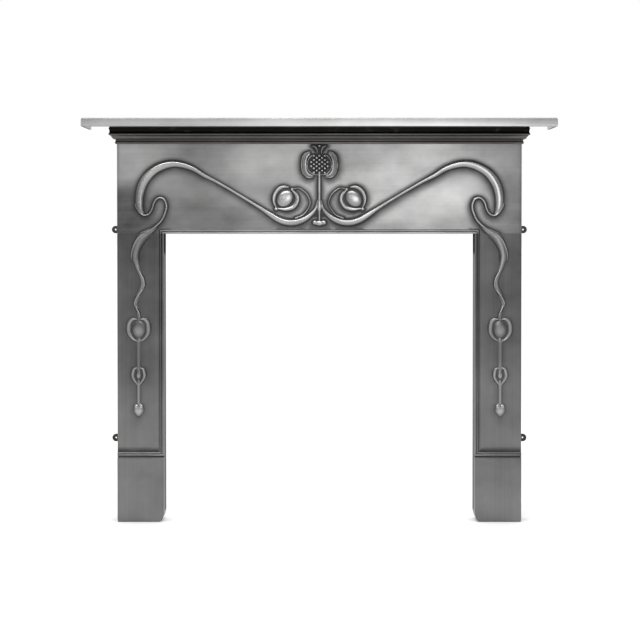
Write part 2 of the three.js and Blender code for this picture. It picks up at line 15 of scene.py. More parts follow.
import bpy
import numpy as np
from mathutils import Euler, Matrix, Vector


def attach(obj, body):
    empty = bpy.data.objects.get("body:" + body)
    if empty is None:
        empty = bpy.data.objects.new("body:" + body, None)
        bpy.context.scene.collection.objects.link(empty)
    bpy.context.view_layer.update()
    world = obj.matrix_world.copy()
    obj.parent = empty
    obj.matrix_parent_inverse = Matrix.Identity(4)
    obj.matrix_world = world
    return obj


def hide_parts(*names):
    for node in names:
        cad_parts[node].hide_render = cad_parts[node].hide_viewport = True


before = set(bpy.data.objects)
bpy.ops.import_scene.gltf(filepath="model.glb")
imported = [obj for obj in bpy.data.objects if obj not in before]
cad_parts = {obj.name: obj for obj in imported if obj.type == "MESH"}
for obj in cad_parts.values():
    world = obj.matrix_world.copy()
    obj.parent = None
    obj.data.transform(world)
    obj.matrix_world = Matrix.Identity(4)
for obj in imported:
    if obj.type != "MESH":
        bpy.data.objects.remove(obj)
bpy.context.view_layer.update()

LOG = logging.getLogger("surround")
MM = 0.001
Array = np.ndarray
Line = list[tuple[float, float, float]]
Solid = bpy.types.Object


# ---- The frame's places, in millimetres ----


@dataclass(frozen=True)
class Places:
    """Where the castings stand, as the CAD frame has them.

    The walls behind a face plate begin at behind_face, just inside the plate's back.
    """

    half_opening: float = 457.0
    half_width: float = 594.0
    leg_centre: float = 525.5
    head: float = 848.0
    leg_top: float = 847.85
    frieze_bottom: float = 848.15
    cornice_z: float = 1111.0
    frieze_top: float = 1156.85
    shelf_bottom: float = 1157.15
    top: float = 1182.4
    wall_y: float = 81.5
    face_y: float = 5.5
    panel_y: float = 12.5
    behind_face: float = 19.4
    bolt_y: float = 62.5
    plinth_top: float = 190.0
    moulding_z: float = 194.5
    wall: float = 7.0
    flange: float = 8.0
    rib_depth: float = 24.0
    rib: float = 6.0


AT = Places()
# From a leg's centre line to its bolts, and the places of the shelf's bolts along the frieze.
LEG_BOLTS = (-32, 32)
SHELF_BOLTS = (-480, -240, 0, 240, 480)
# How wide and how high the rounded inner corner of each foot is.
TOE = (18.0, 28.0)
# How far from a plate's edge the lines of its mesh run that carry the rounded arris.
ARRIS_STEPS = (0.25, 0.7, 1.3, 2.0)
# The small rounding of a cast edge, and how far a cutter runs past what it cuts.
CAST_EDGE = 0.9
PAST = 4.0


class Side(Enum):
    """The two hands of the surround, by the sign of X."""

    LEFT = -1
    RIGHT = 1


# ---- Workshop: modelling by operators ----


class Bench:
    """Small modelling jobs done with Blender's operators, each on clean selection."""

    @staticmethod
    def pick(*objects: Solid) -> None:
        """Selects only these objects and makes the first one active.

        Args:
            *objects: The objects to select.
        """
        if bpy.context.mode != "OBJECT":
            bpy.ops.object.mode_set(mode="OBJECT")
        bpy.ops.object.select_all(action="DESELECT")
        for one in objects:
            one.select_set(True)
        bpy.context.view_layer.objects.active = objects[0]

    @staticmethod
    def settle(piece: Solid) -> Solid:
        """Puts the object's place, turn and size into its mesh.

        Args:
            piece: The object to settle.

        Returns:
            The same object, at the origin.
        """
        Bench.pick(piece)
        bpy.ops.object.transform_apply(location=True, rotation=True, scale=True)
        return piece

    @staticmethod
    def block(name: str, low: Sequence[float], high: Sequence[float]) -> Solid:
        """Adds a box between two corners.

        Args:
            name: The new object's name.
            low: Its lowest corner in millimetres.
            high: Its highest corner in millimetres.

        Returns:
            The box, with its place in its mesh.
        """
        middle = [(a + b) / 2 * MM for a, b in zip(low, high)]
        size = [(b - a) * MM for a, b in zip(low, high)]
        Bench.clear()
        bpy.ops.mesh.primitive_cube_add(size=1, location=middle, scale=size)
        piece = bpy.context.object
        piece.name = name
        return Bench.settle(piece)

    @staticmethod
    def rod(
        name: str,
        centre: Sequence[float],
        diameter: float,
        length: float,
        axis: str = "Z",
        sides: int = 32,
    ) -> Solid:
        """Adds a round bar or a prism.

        Args:
            name: The new object's name.
            centre: Its middle in millimetres.
            diameter: Across its corners, in millimetres.
            length: Along its axis, in millimetres.
            axis: X, Y or Z.
            sides: How many flats it has.

        Returns:
            The bar, with its place in its mesh.
        """
        turn = {"X": (0, math.pi / 2, 0), "Y": (math.pi / 2, 0, 0), "Z": (0, 0, 0)}[axis]
        Bench.clear()
        bpy.ops.mesh.primitive_cylinder_add(
            vertices=sides,
            radius=diameter / 2 * MM,
            depth=length * MM,
            location=[value * MM for value in centre],
            rotation=turn,
        )
        piece = bpy.context.object
        piece.name = name
        return Bench.settle(piece)

    @staticmethod
    def clear() -> None:
        """Leaves edit mode and deselects everything."""
        if bpy.context.mode != "OBJECT":
            bpy.ops.object.mode_set(mode="OBJECT")
        bpy.ops.object.select_all(action="DESELECT")

    @staticmethod
    def join(name: str, pieces: Sequence[Solid]) -> Solid:
        """Makes one object of several.

        Args:
            name: The joined object's name.
            pieces: The objects, all settled.

        Returns:
            The joined object.
        """
        Bench.pick(*pieces)
        if len(pieces) > 1:
            bpy.ops.object.join()
        joined = bpy.context.view_layer.objects.active
        joined.name = name
        joined.data.name = name
        return joined

    @staticmethod
    def apply(piece: Solid, kind: str, **settings: Any) -> Solid:
        """Adds one modifier and applies it.

        Args:
            piece: The object to change.
            kind: The modifier's type.
            **settings: The modifier's own settings.

        Returns:
            The changed object.
        """
        Bench.pick(piece)
        modifier = piece.modifiers.new(kind.lower(), kind)
        for key, value in settings.items():
            setattr(modifier, key, value)
        bpy.ops.object.modifier_apply(modifier=modifier.name)
        return piece

    @staticmethod
    def combine(piece: Solid, tool: Solid, operation: str) -> Solid:
        """Cuts with or adds a tool solid.

        Args:
            piece: The object to change.
            tool: The solid that cuts or is added, which is used up.
            operation: UNION or DIFFERENCE.

        Returns:
            The changed object.
        """
        Bench.apply(piece, "BOOLEAN", operation=operation, object=tool, solver="EXACT")
        bpy.data.objects.remove(tool)
        return piece

    @staticmethod
    def soften(
        piece: Solid, width: float = CAST_EDGE, segments: int = 2, angle: float = 40
    ) -> Solid:
        """Rounds the sharp edges and smooths the shading.

        Args:
            piece: The object to round.
            width: The bevel's width in millimetres.
            segments: Steps across the bevel.
            angle: Edges sharper than this many degrees are rounded.

        Returns:
            The rounded object.
        """
        Bench.apply(
            piece,
            "BEVEL",
            width=width * MM,
            segments=segments,
            limit_method="ANGLE",
            angle_limit=math.radians(angle),
            use_clamp_overlap=True,
        )
        return Bench.smooth(piece, angle)

    @staticmethod
    def smooth(piece: Solid, angle: float = 40) -> Solid:
        """Shades a piece smooth, with its sharper edges kept crisp.

        Args:
            piece: The object to shade.
            angle: Edges sharper than this many degrees stay crisp.

        Returns:
            The same object.
        """
        Bench.pick(piece)
        bpy.ops.object.shade_smooth_by_angle(angle=math.radians(angle))
        return piece

    @staticmethod
    def faces(piece: Solid) -> tuple[Array, Array]:
        """Reads the faces of a piece.

        Args:
            piece: The object to read.

        Returns:
            Every face's centre in millimetres, and its normal.
        """
        polygons = piece.data.polygons
        centres = np.empty(len(polygons) * 3)
        normals = np.empty(len(polygons) * 3)
        polygons.foreach_get("center", centres)
        polygons.foreach_get("normal", normals)
        return centres.reshape(-1, 3) / MM, normals.reshape(-1, 3)

    @staticmethod
    def points(piece: Solid) -> Array:
        """Reads the vertices of a piece.

        Args:
            piece: The object to read.

        Returns:
            Every vertex in millimetres.
        """
        values = np.empty(len(piece.data.vertices) * 3)
        piece.data.vertices.foreach_get("co", values)
        return values.reshape(-1, 3) / MM

    @staticmethod
    def move_points(piece: Solid, places: Array) -> None:
        """Puts every vertex at its new place, given in millimetres."""
        piece.data.vertices.foreach_set("co", (places * MM).ravel())
        piece.data.update()

    @staticmethod
    def edit_faces(piece: Solid, chosen: Array) -> None:
        """Enters edit mode with only some faces selected.

        Args:
            piece: The object to edit.
            chosen: Whether each face is selected.
        """
        Bench._deselect(piece, (False, False, True))
        piece.data.polygons.foreach_set("select", np.asarray(chosen, dtype=bool))
        bpy.ops.object.mode_set(mode="EDIT")

    @staticmethod
    def edit_edges(piece: Solid, wanted: Callable[[Vector, Vector], bool]) -> None:
        """Enters edit mode with only some edges selected.

        Args:
            piece: The object to edit.
            wanted: Picks an edge by its two ends, given in millimetres.
        """
        Bench._deselect(piece, (False, True, False))
        mesh = piece.data
        for edge in mesh.edges:
            edge.select = wanted(*(mesh.vertices[index].co / MM for index in edge.vertices))
        bpy.ops.object.mode_set(mode="EDIT")

    @staticmethod
    def _deselect(piece: Solid, kind: tuple[bool, bool, bool]) -> None:
        """Deselects a piece's mesh.

        Args:
            piece: The object, made active.
            kind: Whether vertices, edges and faces are selected from here on.
        """
        Bench.pick(piece)
        bpy.context.tool_settings.mesh_select_mode = kind
        bpy.ops.object.mode_set(mode="EDIT")
        bpy.ops.mesh.select_all(action="DESELECT")
        bpy.ops.object.mode_set(mode="OBJECT")

    @staticmethod
    def face_outward() -> None:
        """Turns all faces of the piece in edit mode outward, and leaves edit mode."""
        bpy.ops.mesh.select_all(action="SELECT")
        bpy.ops.mesh.normals_make_consistent(inside=False)
        bpy.ops.object.mode_set(mode="OBJECT")

    @staticmethod
    def mirrored(piece: Solid, name: str) -> Solid:
        """Copies a piece to the other hand, with a mesh of its own.

        Args:
            piece: The right-hand piece.
            name: The copy's name.

        Returns:
            The left-hand copy, facing outward.
        """
        Bench.pick(piece)
        bpy.ops.object.duplicate()
        copy = bpy.context.object
        copy.name = name
        copy.data.name = name
        bpy.ops.transform.resize(value=(-1, 1, 1), center_override=(0, 0, 0))
        Bench.settle(copy)
        bpy.ops.object.mode_set(mode="EDIT")
        Bench.face_outward()
        return copy

    @staticmethod
    def dress(piece: Solid, *finishes: bpy.types.Material) -> None:
        """Gives a piece its materials.

        Args:
            piece: The object to dress.
            *finishes: The materials. All faces use the first.
        """
        piece.data.materials.clear()
        for finish in finishes:
            piece.data.materials.append(finish)

    @staticmethod
    def paint(piece: Solid, slot: int, where: Callable[[Array, Array], Array]) -> None:
        """Gives some faces another of the piece's materials.

        Args:
            piece: The dressed piece.
            slot: The material slot's number.
            where: Picks faces by their centres and normals.
        """
        chosen = where(*Bench.faces(piece))
        index = np.empty(len(chosen), dtype=np.int32)
        piece.data.polygons.foreach_get("material_index", index)
        index[chosen] = slot
        piece.data.polygons.foreach_set("material_index", index)


def declare(piece: Solid, slot: str, *nodes: str) -> None:
    """Puts a finished piece on the body and hides the CAD nodes that it stands for.

    Args:
        piece: The finished piece.
        slot: A material slot's name; not used.
        *nodes: The CAD nodes it replaces.
    """
    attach(piece, "root")
    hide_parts(*nodes)
    LOG.info("%s: %d faces", piece.name, len(piece.data.polygons))


# ---- Finishes ----


class Wire:
    """A shader value; Python arithmetic on it adds Math nodes."""

    def __init__(self, graph: "Graph", socket: Any) -> None:
        """Keeps the graph and the socket that the value comes from."""
        self.graph = graph
        self.socket = socket

    def _with(self, operation: str, *values: Any) -> "Wire":
        """Adds one Math node over these values."""
        return self.graph.math(operation, *values)

    def __add__(self, other: Any) -> "Wire":
        """Adds."""
        return self._with("ADD", self, other)

    def __sub__(self, other: Any) -> "Wire":
        """Subtracts."""
        return self._with("SUBTRACT", self, other)

    def __rsub__(self, other: Any) -> "Wire":
        """Subtracts from a number."""
        return self._with("SUBTRACT", other, self)

    def __mul__(self, other: Any) -> "Wire":
        """Multiplies."""
        return self._with("MULTIPLY", self, other)

    __radd__ = __add__
    __rmul__ = __mul__

    def capped(self) -> "Wire":
        """Keeps the value between 0 and 1."""
        return self.graph.spread(self, 0, 1, 0, 1)

    def over(self, low: float, high: float) -> "Wire":
        """Turns a range of the value into 0 to 1, softly."""
        return self.graph.spread(self, low, high, 0, 1, "SMOOTHSTEP")


class Graph:
    """A tree of shader nodes."""

    def __init__(self, tree: bpy.types.NodeTree) -> None:
        """Empties the tree."""
        self.tree = tree
        self.tree.nodes.clear()

    def node(self, kind: str, settings: dict[str, Any], inputs: dict[Any, Any]) -> Any:
        """Adds a node.

        Args:
            kind: The node's type.
            settings: Its own settings, set first.
            inputs: The value or link of each named or numbered socket.

        Returns:
            The node.
        """
        node = self.tree.nodes.new(kind)
        for key, value in settings.items():
            setattr(node, key, value)
        self.fill(node, inputs)
        return node

    def fill(self, node: Any, inputs: dict[Any, Any]) -> None:
        """Links or sets the sockets of a node.

        Args:
            node: The node.
            inputs: The value or link of each named or numbered socket.
        """
        for key, value in inputs.items():
            if isinstance(value, Wire):
                value = value.socket
            if isinstance(value, bpy.types.NodeSocket):
                self.tree.links.new(value, node.inputs[key])
            else:
                node.inputs[key].default_value = value

    def math(self, operation: str, *values: Any) -> Wire:
        """Adds a Math node."""
        node = self.node(
            "ShaderNodeMath", {"operation": operation}, dict(enumerate(values))
        )
        return Wire(self, node.outputs[0])

    def spread(
        self, value: Any, low: float, high: float, start: Any, end: Any, how: str = "LINEAR"
    ) -> Wire:
        """Maps one range of a value to another.

        Args:
            value: The value to map.
            low: The start of its range.
            high: The end of its range.
            start: The result at the start and before it.
            end: The result at the end and past it.
            how: LINEAR, or SMOOTHSTEP for a soft start and end.

        Returns:
            The mapped value.
        """
        node = self.node(
            "ShaderNodeMapRange",
            {"interpolation_type": how},
            {"Value": value, "From Min": low, "From Max": high, "To Min": start, "To Max": end},
        )
        return Wire(self, node.outputs["Result"])


class Coat(Graph):
    """The node tree of one material, on the object's own coordinates."""

    def __init__(self, name: str) -> None:
        """Starts a material with only its shader and output.

        Args:
            name: The material's name.
        """
        self.material = bpy.data.materials.new(name)
        self.material.use_nodes = True
        super().__init__(self.material.node_tree)
        self.shader = self.node("ShaderNodeBsdfPrincipled", {}, {})
        self.node("ShaderNodeOutputMaterial", {}, {"Surface": self.shader.outputs["BSDF"]})

    def place(self, scale: Sequence[float]) -> Any:
        """Gives the object's own coordinates, stretched along each axis."""
        where = self.node("ShaderNodeTexCoord", {}, {})
        return self.node(
            "ShaderNodeMapping",
            {},
            {"Vector": where.outputs["Object"], "Scale": Vector(scale)},
        ).outputs["Vector"]

    def axis(self, name: str) -> Wire:
        """Gives one coordinate of the object.

        Args:
            name: X, Y or Z.

        Returns:
            The coordinate in metres.
        """
        where = self.node("ShaderNodeTexCoord", {}, {})
        split = self.node("ShaderNodeSeparateXYZ", {}, {"Vector": where.outputs["Object"]})
        return Wire(self, split.outputs[name])

    def noise(
        self, scale: Sequence[float], detail: float = 3, roughness: float = 0.55
    ) -> Wire:
        """Adds noise over stretched object coordinates.

        Args:
            scale: How often it varies along each axis, per metre.
            detail: How many finer octaves it has.
            roughness: How strong the finer octaves are.

        Returns:
            The noise, about 0.5 on average.
        """
        node = self.node(
            "ShaderNodeTexNoise",
            {},
            {
                "Vector": self.place(scale),
                "Scale": 1.0,
                "Detail": detail,
                "Roughness": roughness,
            },
        )
        return Wire(self, node.outputs["Fac"])

    def shaded(self, tone: Wire, shades: Sequence["Shade"]) -> Wire:
        """Paints light and shade into a tone along the object's axes.

        Args:
            tone: The tone to change.
            shades: Where it changes, and by how much.

        Returns:
            The changed tone.
        """
        for shade in shades:
            share = self.axis(shade.axis).over(*sorted((shade.near, shade.far)))
            tone = tone - (share if shade.near < shade.far else 1 - share) * shade.depth
        return tone

    def attribute(self, name: str) -> Wire:
        """Reads a number stored on the piece's vertices."""
        node = self.node(
            "ShaderNodeAttribute",
            {"attribute_name": name, "attribute_type": "GEOMETRY"},
            {},
        )
        return Wire(self, node.outputs["Fac"])

    def tinted(self, shade: Wire, tint: Sequence[float]) -> Any:
        """Makes a colour of a grey shade.

        Args:
            shade: The grey.
            tint: The share of it in red, green and blue.

        Returns:
            The colour's socket.
        """
        channels = [shade if share == 1 else shade * share for share in tint]
        return self.node("ShaderNodeCombineColor", {}, dict(enumerate(channels))).outputs[0]

    def bump(self, height: Wire, depth: float, strength: float = 1.0) -> None:
        """Feeds the shader's normal from a height.

        Args:
            height: The height, from 0 to about 1.
            depth: How deep that is, in metres.
            strength: How much of it shows.
        """
        node = self.node(
            "ShaderNodeBump", {}, {"Height": height, "Distance": depth, "Strength": strength}
        )
        self.feed(Normal=node.outputs["Normal"])

    def feed(self, **inputs: Any) -> None:
        """Links or sets the shader's sockets, named with underscores for spaces."""
        self.fill(self.shader, {key.replace("_", " "): value for key, value in inputs.items()})


@dataclass(frozen=True)
class Shade:
    """A stretch of one axis over which painted light and shade change a finish's tone.

    From near to far, in metres, the tone falls by depth, or rises where depth is below zero.
    It keeps the change past far.
    """

    axis: str
    near: float
    far: float
    depth: float


class Grain(Enum):
    """Which way the polishing strokes run.

    Each has how often its fine strokes vary along X, Y and Z, per metre, and its broad ones.
    """

    ACROSS = ((1.6, 40.0, 260.0), (1.92, 40.0, 23.4))
    UPRIGHT = ((260.0, 40.0, 1.6), (23.4, 40.0, 1.92))


# How often the other patterns of a polished face vary along X, Y and Z, per metre.
CLOUDS = (5.0, 5.0, 7.0)
WEATHER = (2.4, 2.4, 6.0)
PITS = (900.0, 900.0, 900.0)
PATCHES = (14.0, 14.0, 14.0)
# The stretches of X, on both sides, and of Z over which painted shade darkens the lower outer
# corners.
CORNER_SHADE_X = (0.4, 0.56)
CORNER_SHADE_Z = (0.93, 1.06)


@dataclass(frozen=True)
class PolishedIron:
    """Bare cast iron, polished where the wheel reaches and dark where it doesn't, with painted
    shade and highlights.

    Attributes:
        name: The material's name.
        grain: Which way the strokes run.
        level: The polished tone.
        spare: How much the strokes vary it.
        dark: The tone of what isn't polished, given to the painted shade as well.
        smoothness: The lowest and the highest roughness of what is polished.
        burnish_and_highlight: How much brighter the rubbed crests are, with a painted highlight on
            their upper sides.
        clouded: How much slow clouds vary the tone.
        corners: How much darker the lower outer corners are, as painted shade.
        metal: How metallic it is.
        sheen: The shader's specular level.
        shades: Where painted light and shade change the tone along an axis.
    """

    name: str
    grain: Grain
    level: float = 0.21
    spare: float = 0.055
    dark: float = 0.028
    smoothness: tuple[float, float] = (0.24, 0.36)
    burnish_and_highlight: float = 0.2
    clouded: float = 0.16
    corners: float = 0.0
    metal: float = 1.0
    sheen: float = 0.5
    shades: tuple[Shade, ...] = ()

    def material(self) -> bpy.types.Material:
        """Builds the finish.

        Returns:
            The material.
        """
        g = Coat(self.name)
        fine, broad = self.grain.value
        strokes = g.noise(fine, 4, 0.62)
        bands = g.noise(broad, 3, 0.5)
        clouds = g.noise(CLOUDS, 4, 0.6)
        weather = g.noise(WEATHER, 2, 0.5)
        pits = g.noise(PITS, 2, 0.6)
        # The crest share: rubbed crests, with a painted highlight on their upper sides.
        wear_and_highlight = g.attribute("crest")
        patchy = g.noise(PATCHES, 3, 0.6)
        # The dark share: iron that isn't polished round the relief, and painted shade below it.
        blotch = (g.attribute("dark_and_shade") * (0.65 + patchy * 0.9)).capped()
        tone = self.level + (strokes - 0.5) * self.spare + (bands - 0.5) * self.spare
        tone = tone + (clouds - 0.5) * self.clouded + (weather - 0.5) * self.clouded
        # Painted shade darkens the lower outer corners.
        if self.corners:
            outward = g.math("ABSOLUTE", g.axis("X")).over(*CORNER_SHADE_X)
            tone = tone - outward * (1 - g.axis("Z").over(*CORNER_SHADE_Z)) * self.corners
        # Painted light and shade along the axes, then the crests' painted highlight.
        tone = g.shaded(tone, self.shades) + wear_and_highlight * self.burnish_and_highlight
        # The tone of the dark share, given to the painted shade as well.
        dark_and_shade_tone = self.dark + (pits - 0.5) * 0.02 + (clouds - 0.5) * 0.02
        shade = tone * (1 - blotch) + dark_and_shade_tone * blotch
        low, high = self.smoothness
        gloss = low + (high - low) * (strokes * 0.6 + clouds * 0.4) - wear_and_highlight * 0.04
        rough = gloss * (1 - blotch) + (0.6 + (pits - 0.5) * 0.2) * blotch
        g.feed(
            Base_Color=g.tinted(shade, (1, 1, 0.995)),
            Roughness=rough.capped(),
            Metallic=(self.metal - blotch * self.metal * 0.4).capped(),
            Specular_IOR_Level=self.sheen,
        )
        relief = strokes * 0.1 * (1 - blotch) + pits * (0.01 + blotch * 0.8)
        g.bump(relief, 0.0004, 0.5)
        return g.material


@dataclass(frozen=True)
class BlackedIron:
    """Blackened casting: the cornice, the lugs and everything behind the faces, and painted shade
    on the cornice.

    Attributes:
        name: The material's name.
        level: The tone of the blacking.
        bare: How much brighter the worn places are.
        rough: The roughness.
        grit: How deep the sand-cast grain is, in metres.
        metal: How metallic it is where it isn't worn.
        shades: Where painted light and shade change the tone along an axis.
    """

    name: str
    level: float = 0.03
    bare: float = 0.02
    rough: float = 0.5
    grit: float = 0.0009
    metal: float = 0.55
    shades: tuple[Shade, ...] = ()

    def material(self) -> bpy.types.Material:
        """Builds the finish.

        Returns:
            The material.
        """
        g = Coat(self.name)
        clouds = g.noise((9.0, 9.0, 9.0), 5, 0.6)
        sand = g.noise((420.0, 420.0, 420.0), 3, 0.65)
        worn = g.noise((30.0, 60.0, 60.0), 4, 0.6).over(0.55, 0.75)
        mottle = (clouds - 0.5) * 0.6 + (sand - 0.5) * 0.4
        shade = g.shaded(self.level + worn * self.bare, self.shades) * (1 + mottle)
        rough = self.rough + (sand - 0.5) * 0.25 - worn * 0.12
        g.feed(
            Base_Color=g.tinted(shade, (1.04, 1, 0.96)),
            Roughness=rough.capped(),
            Metallic=(self.metal + worn * 0.3).capped(),
        )
        g.bump(sand * 0.8 + clouds * 0.2, self.grit, 0.6)
        return g.material


@dataclass(frozen=True)
class BlackedSteel:
    """Oil-blackened steel of the bolts, nuts and washers."""

    name: str
    level: float = 0.05

    def material(self) -> bpy.types.Material:
        """Builds the finish.

        Returns:
            The material.
        """
        g = Coat(self.name)
        fine = g.noise((700.0, 700.0, 120.0), 3, 0.6)
        worn = g.noise((160.0, 160.0, 160.0), 3, 0.6).over(0.56, 0.72)
        shade = self.level + (fine - 0.5) * 0.03 + worn * 0.09
        g.feed(
            Base_Color=g.tinted(shade, (1.02, 1, 0.97)),
            Roughness=(0.5 + (fine - 0.5) * 0.3 - worn * 0.15).capped(),
            Metallic=0.9,
        )
        g.bump(fine, 0.0003, 0.5)
        return g.material


# ---- Relief: what is cast on the faces ----

# The narrowest that a drawn line gets, how wide the dark line at a form's foot is, and how
# dark a black place is.
THINNEST = 0.5
SEAM = 1.7
BLACK = 0.95
# What stands less high than this counts as ground.
GROUND = 0.3


def flipped(line: Line) -> Line:
    """Draws a line on the other side of the middle."""
    return [(-x, z, width) for x, z, width in line]


def smooth_line(points: Line, step: float = 2.0) -> Array:
    """Runs a smooth line through drawn points.

    Args:
        points: Each point's [x, z, width] in millimetres.
        step: About how far apart the fine points lie.

    Returns:
        The fine points, one [x, z, width] a row.
    """
    drawn = np.asarray(points, float)
    gaps = np.sqrt(np.linalg.norm(np.diff(drawn[:, :2], axis=0), axis=1)) + 1e-6
    slopes = np.diff(drawn, axis=0) / gaps[:, None]
    before, after = gaps[:-1, None], gaps[1:, None]
    inner = (slopes[:-1] * after + slopes[1:] * before) / (before + after)
    tangents = np.vstack([slopes[:1], inner, slopes[-1:]])
    fine = []
    for index, gap in enumerate(gaps):
        length = np.linalg.norm(drawn[index + 1, :2] - drawn[index, :2])
        count = max(2, int(math.ceil(length / step)))
        share = (np.arange(count) / count)[:, None]
        a, b = drawn[index], drawn[index + 1]
        m, n = tangents[index] * gap, tangents[index + 1] * gap
        cube, square = share**3, share**2
        fine.append(
            (2 * cube - 3 * square + 1) * a
            + (cube - 2 * square + share) * m
            + (3 * square - 2 * cube) * b
            + (cube - square) * n
        )
    line = np.vstack([*fine, drawn[-1:]])
    line[:, 2] = np.maximum(line[:, 2], THINNEST)
    return line


@dataclass(frozen=True)
class Stroke:
    """A line of the ornament that swells and thins.

    Attributes:
        points: Each drawn point's [x, z, width].
        height: The most that it stands up.
        crest: How far off the middle its crest lies, as a share of the half width, and to
            the left of the way that the line is drawn where it is above zero.
        slope: The most height for the line's width.
    """

    points: Line
    height: float = 7.0
    crest: float = 0.0
    slope: float = 0.42

    def mirrored(self) -> "Stroke":
        """Gives the same line on the other side of the middle."""
        return replace(self, points=flipped(self.points), crest=-self.crest)

    def read(self, x: Array, z: Array) -> tuple[Array, Array, Array]:
        """Measures places against the line.

        Args:
            x: Places along the face.
            z: Places up the face.

        Returns:
            The height there, how far outside the line it lies, and its share across.
        """
        line = smooth_line(self.points)
        best = np.full(x.shape, 1e9)
        side = np.zeros(x.shape)
        width = np.ones(x.shape)
        for a, b in zip(line[:-1], line[1:]):
            run, rise = b[0] - a[0], b[1] - a[1]
            length = run * run + rise * rise + 1e-9
            share = np.clip(((x - a[0]) * run + (z - a[1]) * rise) / length, 0, 1)
            off_x = x - a[0] - share * run
            off_z = z - a[1] - share * rise
            half = (a[2] + (b[2] - a[2]) * share) / 2
            ratio = np.hypot(off_x, off_z) / half
            nearer = ratio < best
            best = np.where(nearer, ratio, best)
            turn = np.sign(run * off_z - rise * off_x)
            side = np.where(nearer, turn, side)
            width = np.where(nearer, half, width)
        signed = np.clip(best, 0, 1) * side
        lean = np.where(
            signed > self.crest,
            (signed - self.crest) / (1 - self.crest),
            (self.crest - signed) / (1 + self.crest),
        )
        lean = np.clip(np.abs(lean), 0, 1)
        dome = 0.75 * np.sqrt(1 - lean**2) + 0.25 * (1 - lean**2)
        tall = np.minimum(self.height, self.slope * 2 * width)
        return np.where(best < 1, dome * tall, 0), (best - 1) * width, best


@dataclass(frozen=True)
class Bud:
    """A rounded form such as a seed, a pod's bud or a knot.

    Attributes:
        centre: Its middle's [x, z].
        width: Across, before it leans.
        height: From end to end.
        out: How far it stands up.
        lean: How far it turns, in radians.
        point: How much its lower end narrows.
    """

    centre: tuple[float, float]
    width: float
    height: float
    out: float
    lean: float = 0.0
    point: float = 0.0

    def mirrored(self) -> "Bud":
        """Gives the same form on the other side of the middle."""
        return replace(self, centre=(-self.centre[0], self.centre[1]), lean=-self.lean)

    def read(self, x: Array, z: Array) -> tuple[Array, Array, Array]:
        """Measures places against the form.

        Args:
            x: Places along the face.
            z: Places up the face.

        Returns:
            The height there, how far outside the form it lies, and its share across.
        """
        along_x, along_z = x - self.centre[0], z - self.centre[1]
        cos, sin = math.cos(self.lean), math.sin(self.lean)
        u = (along_x * cos + along_z * sin) / (self.width / 2)
        v = (along_z * cos - along_x * sin) / (self.height / 2)
        u = u * (1 + self.point * np.clip(-v, 0, 1) ** 2)
        ratio = np.hypot(u, v)
        inside = np.clip(ratio, 0, 1)
        dome = np.sqrt(1 - inside**2)
        reach = min(self.width, self.height) / 2
        return np.where(ratio < 1, dome * self.out, 0), (ratio - 1) * reach, ratio**1.8


Form = Stroke | Bud


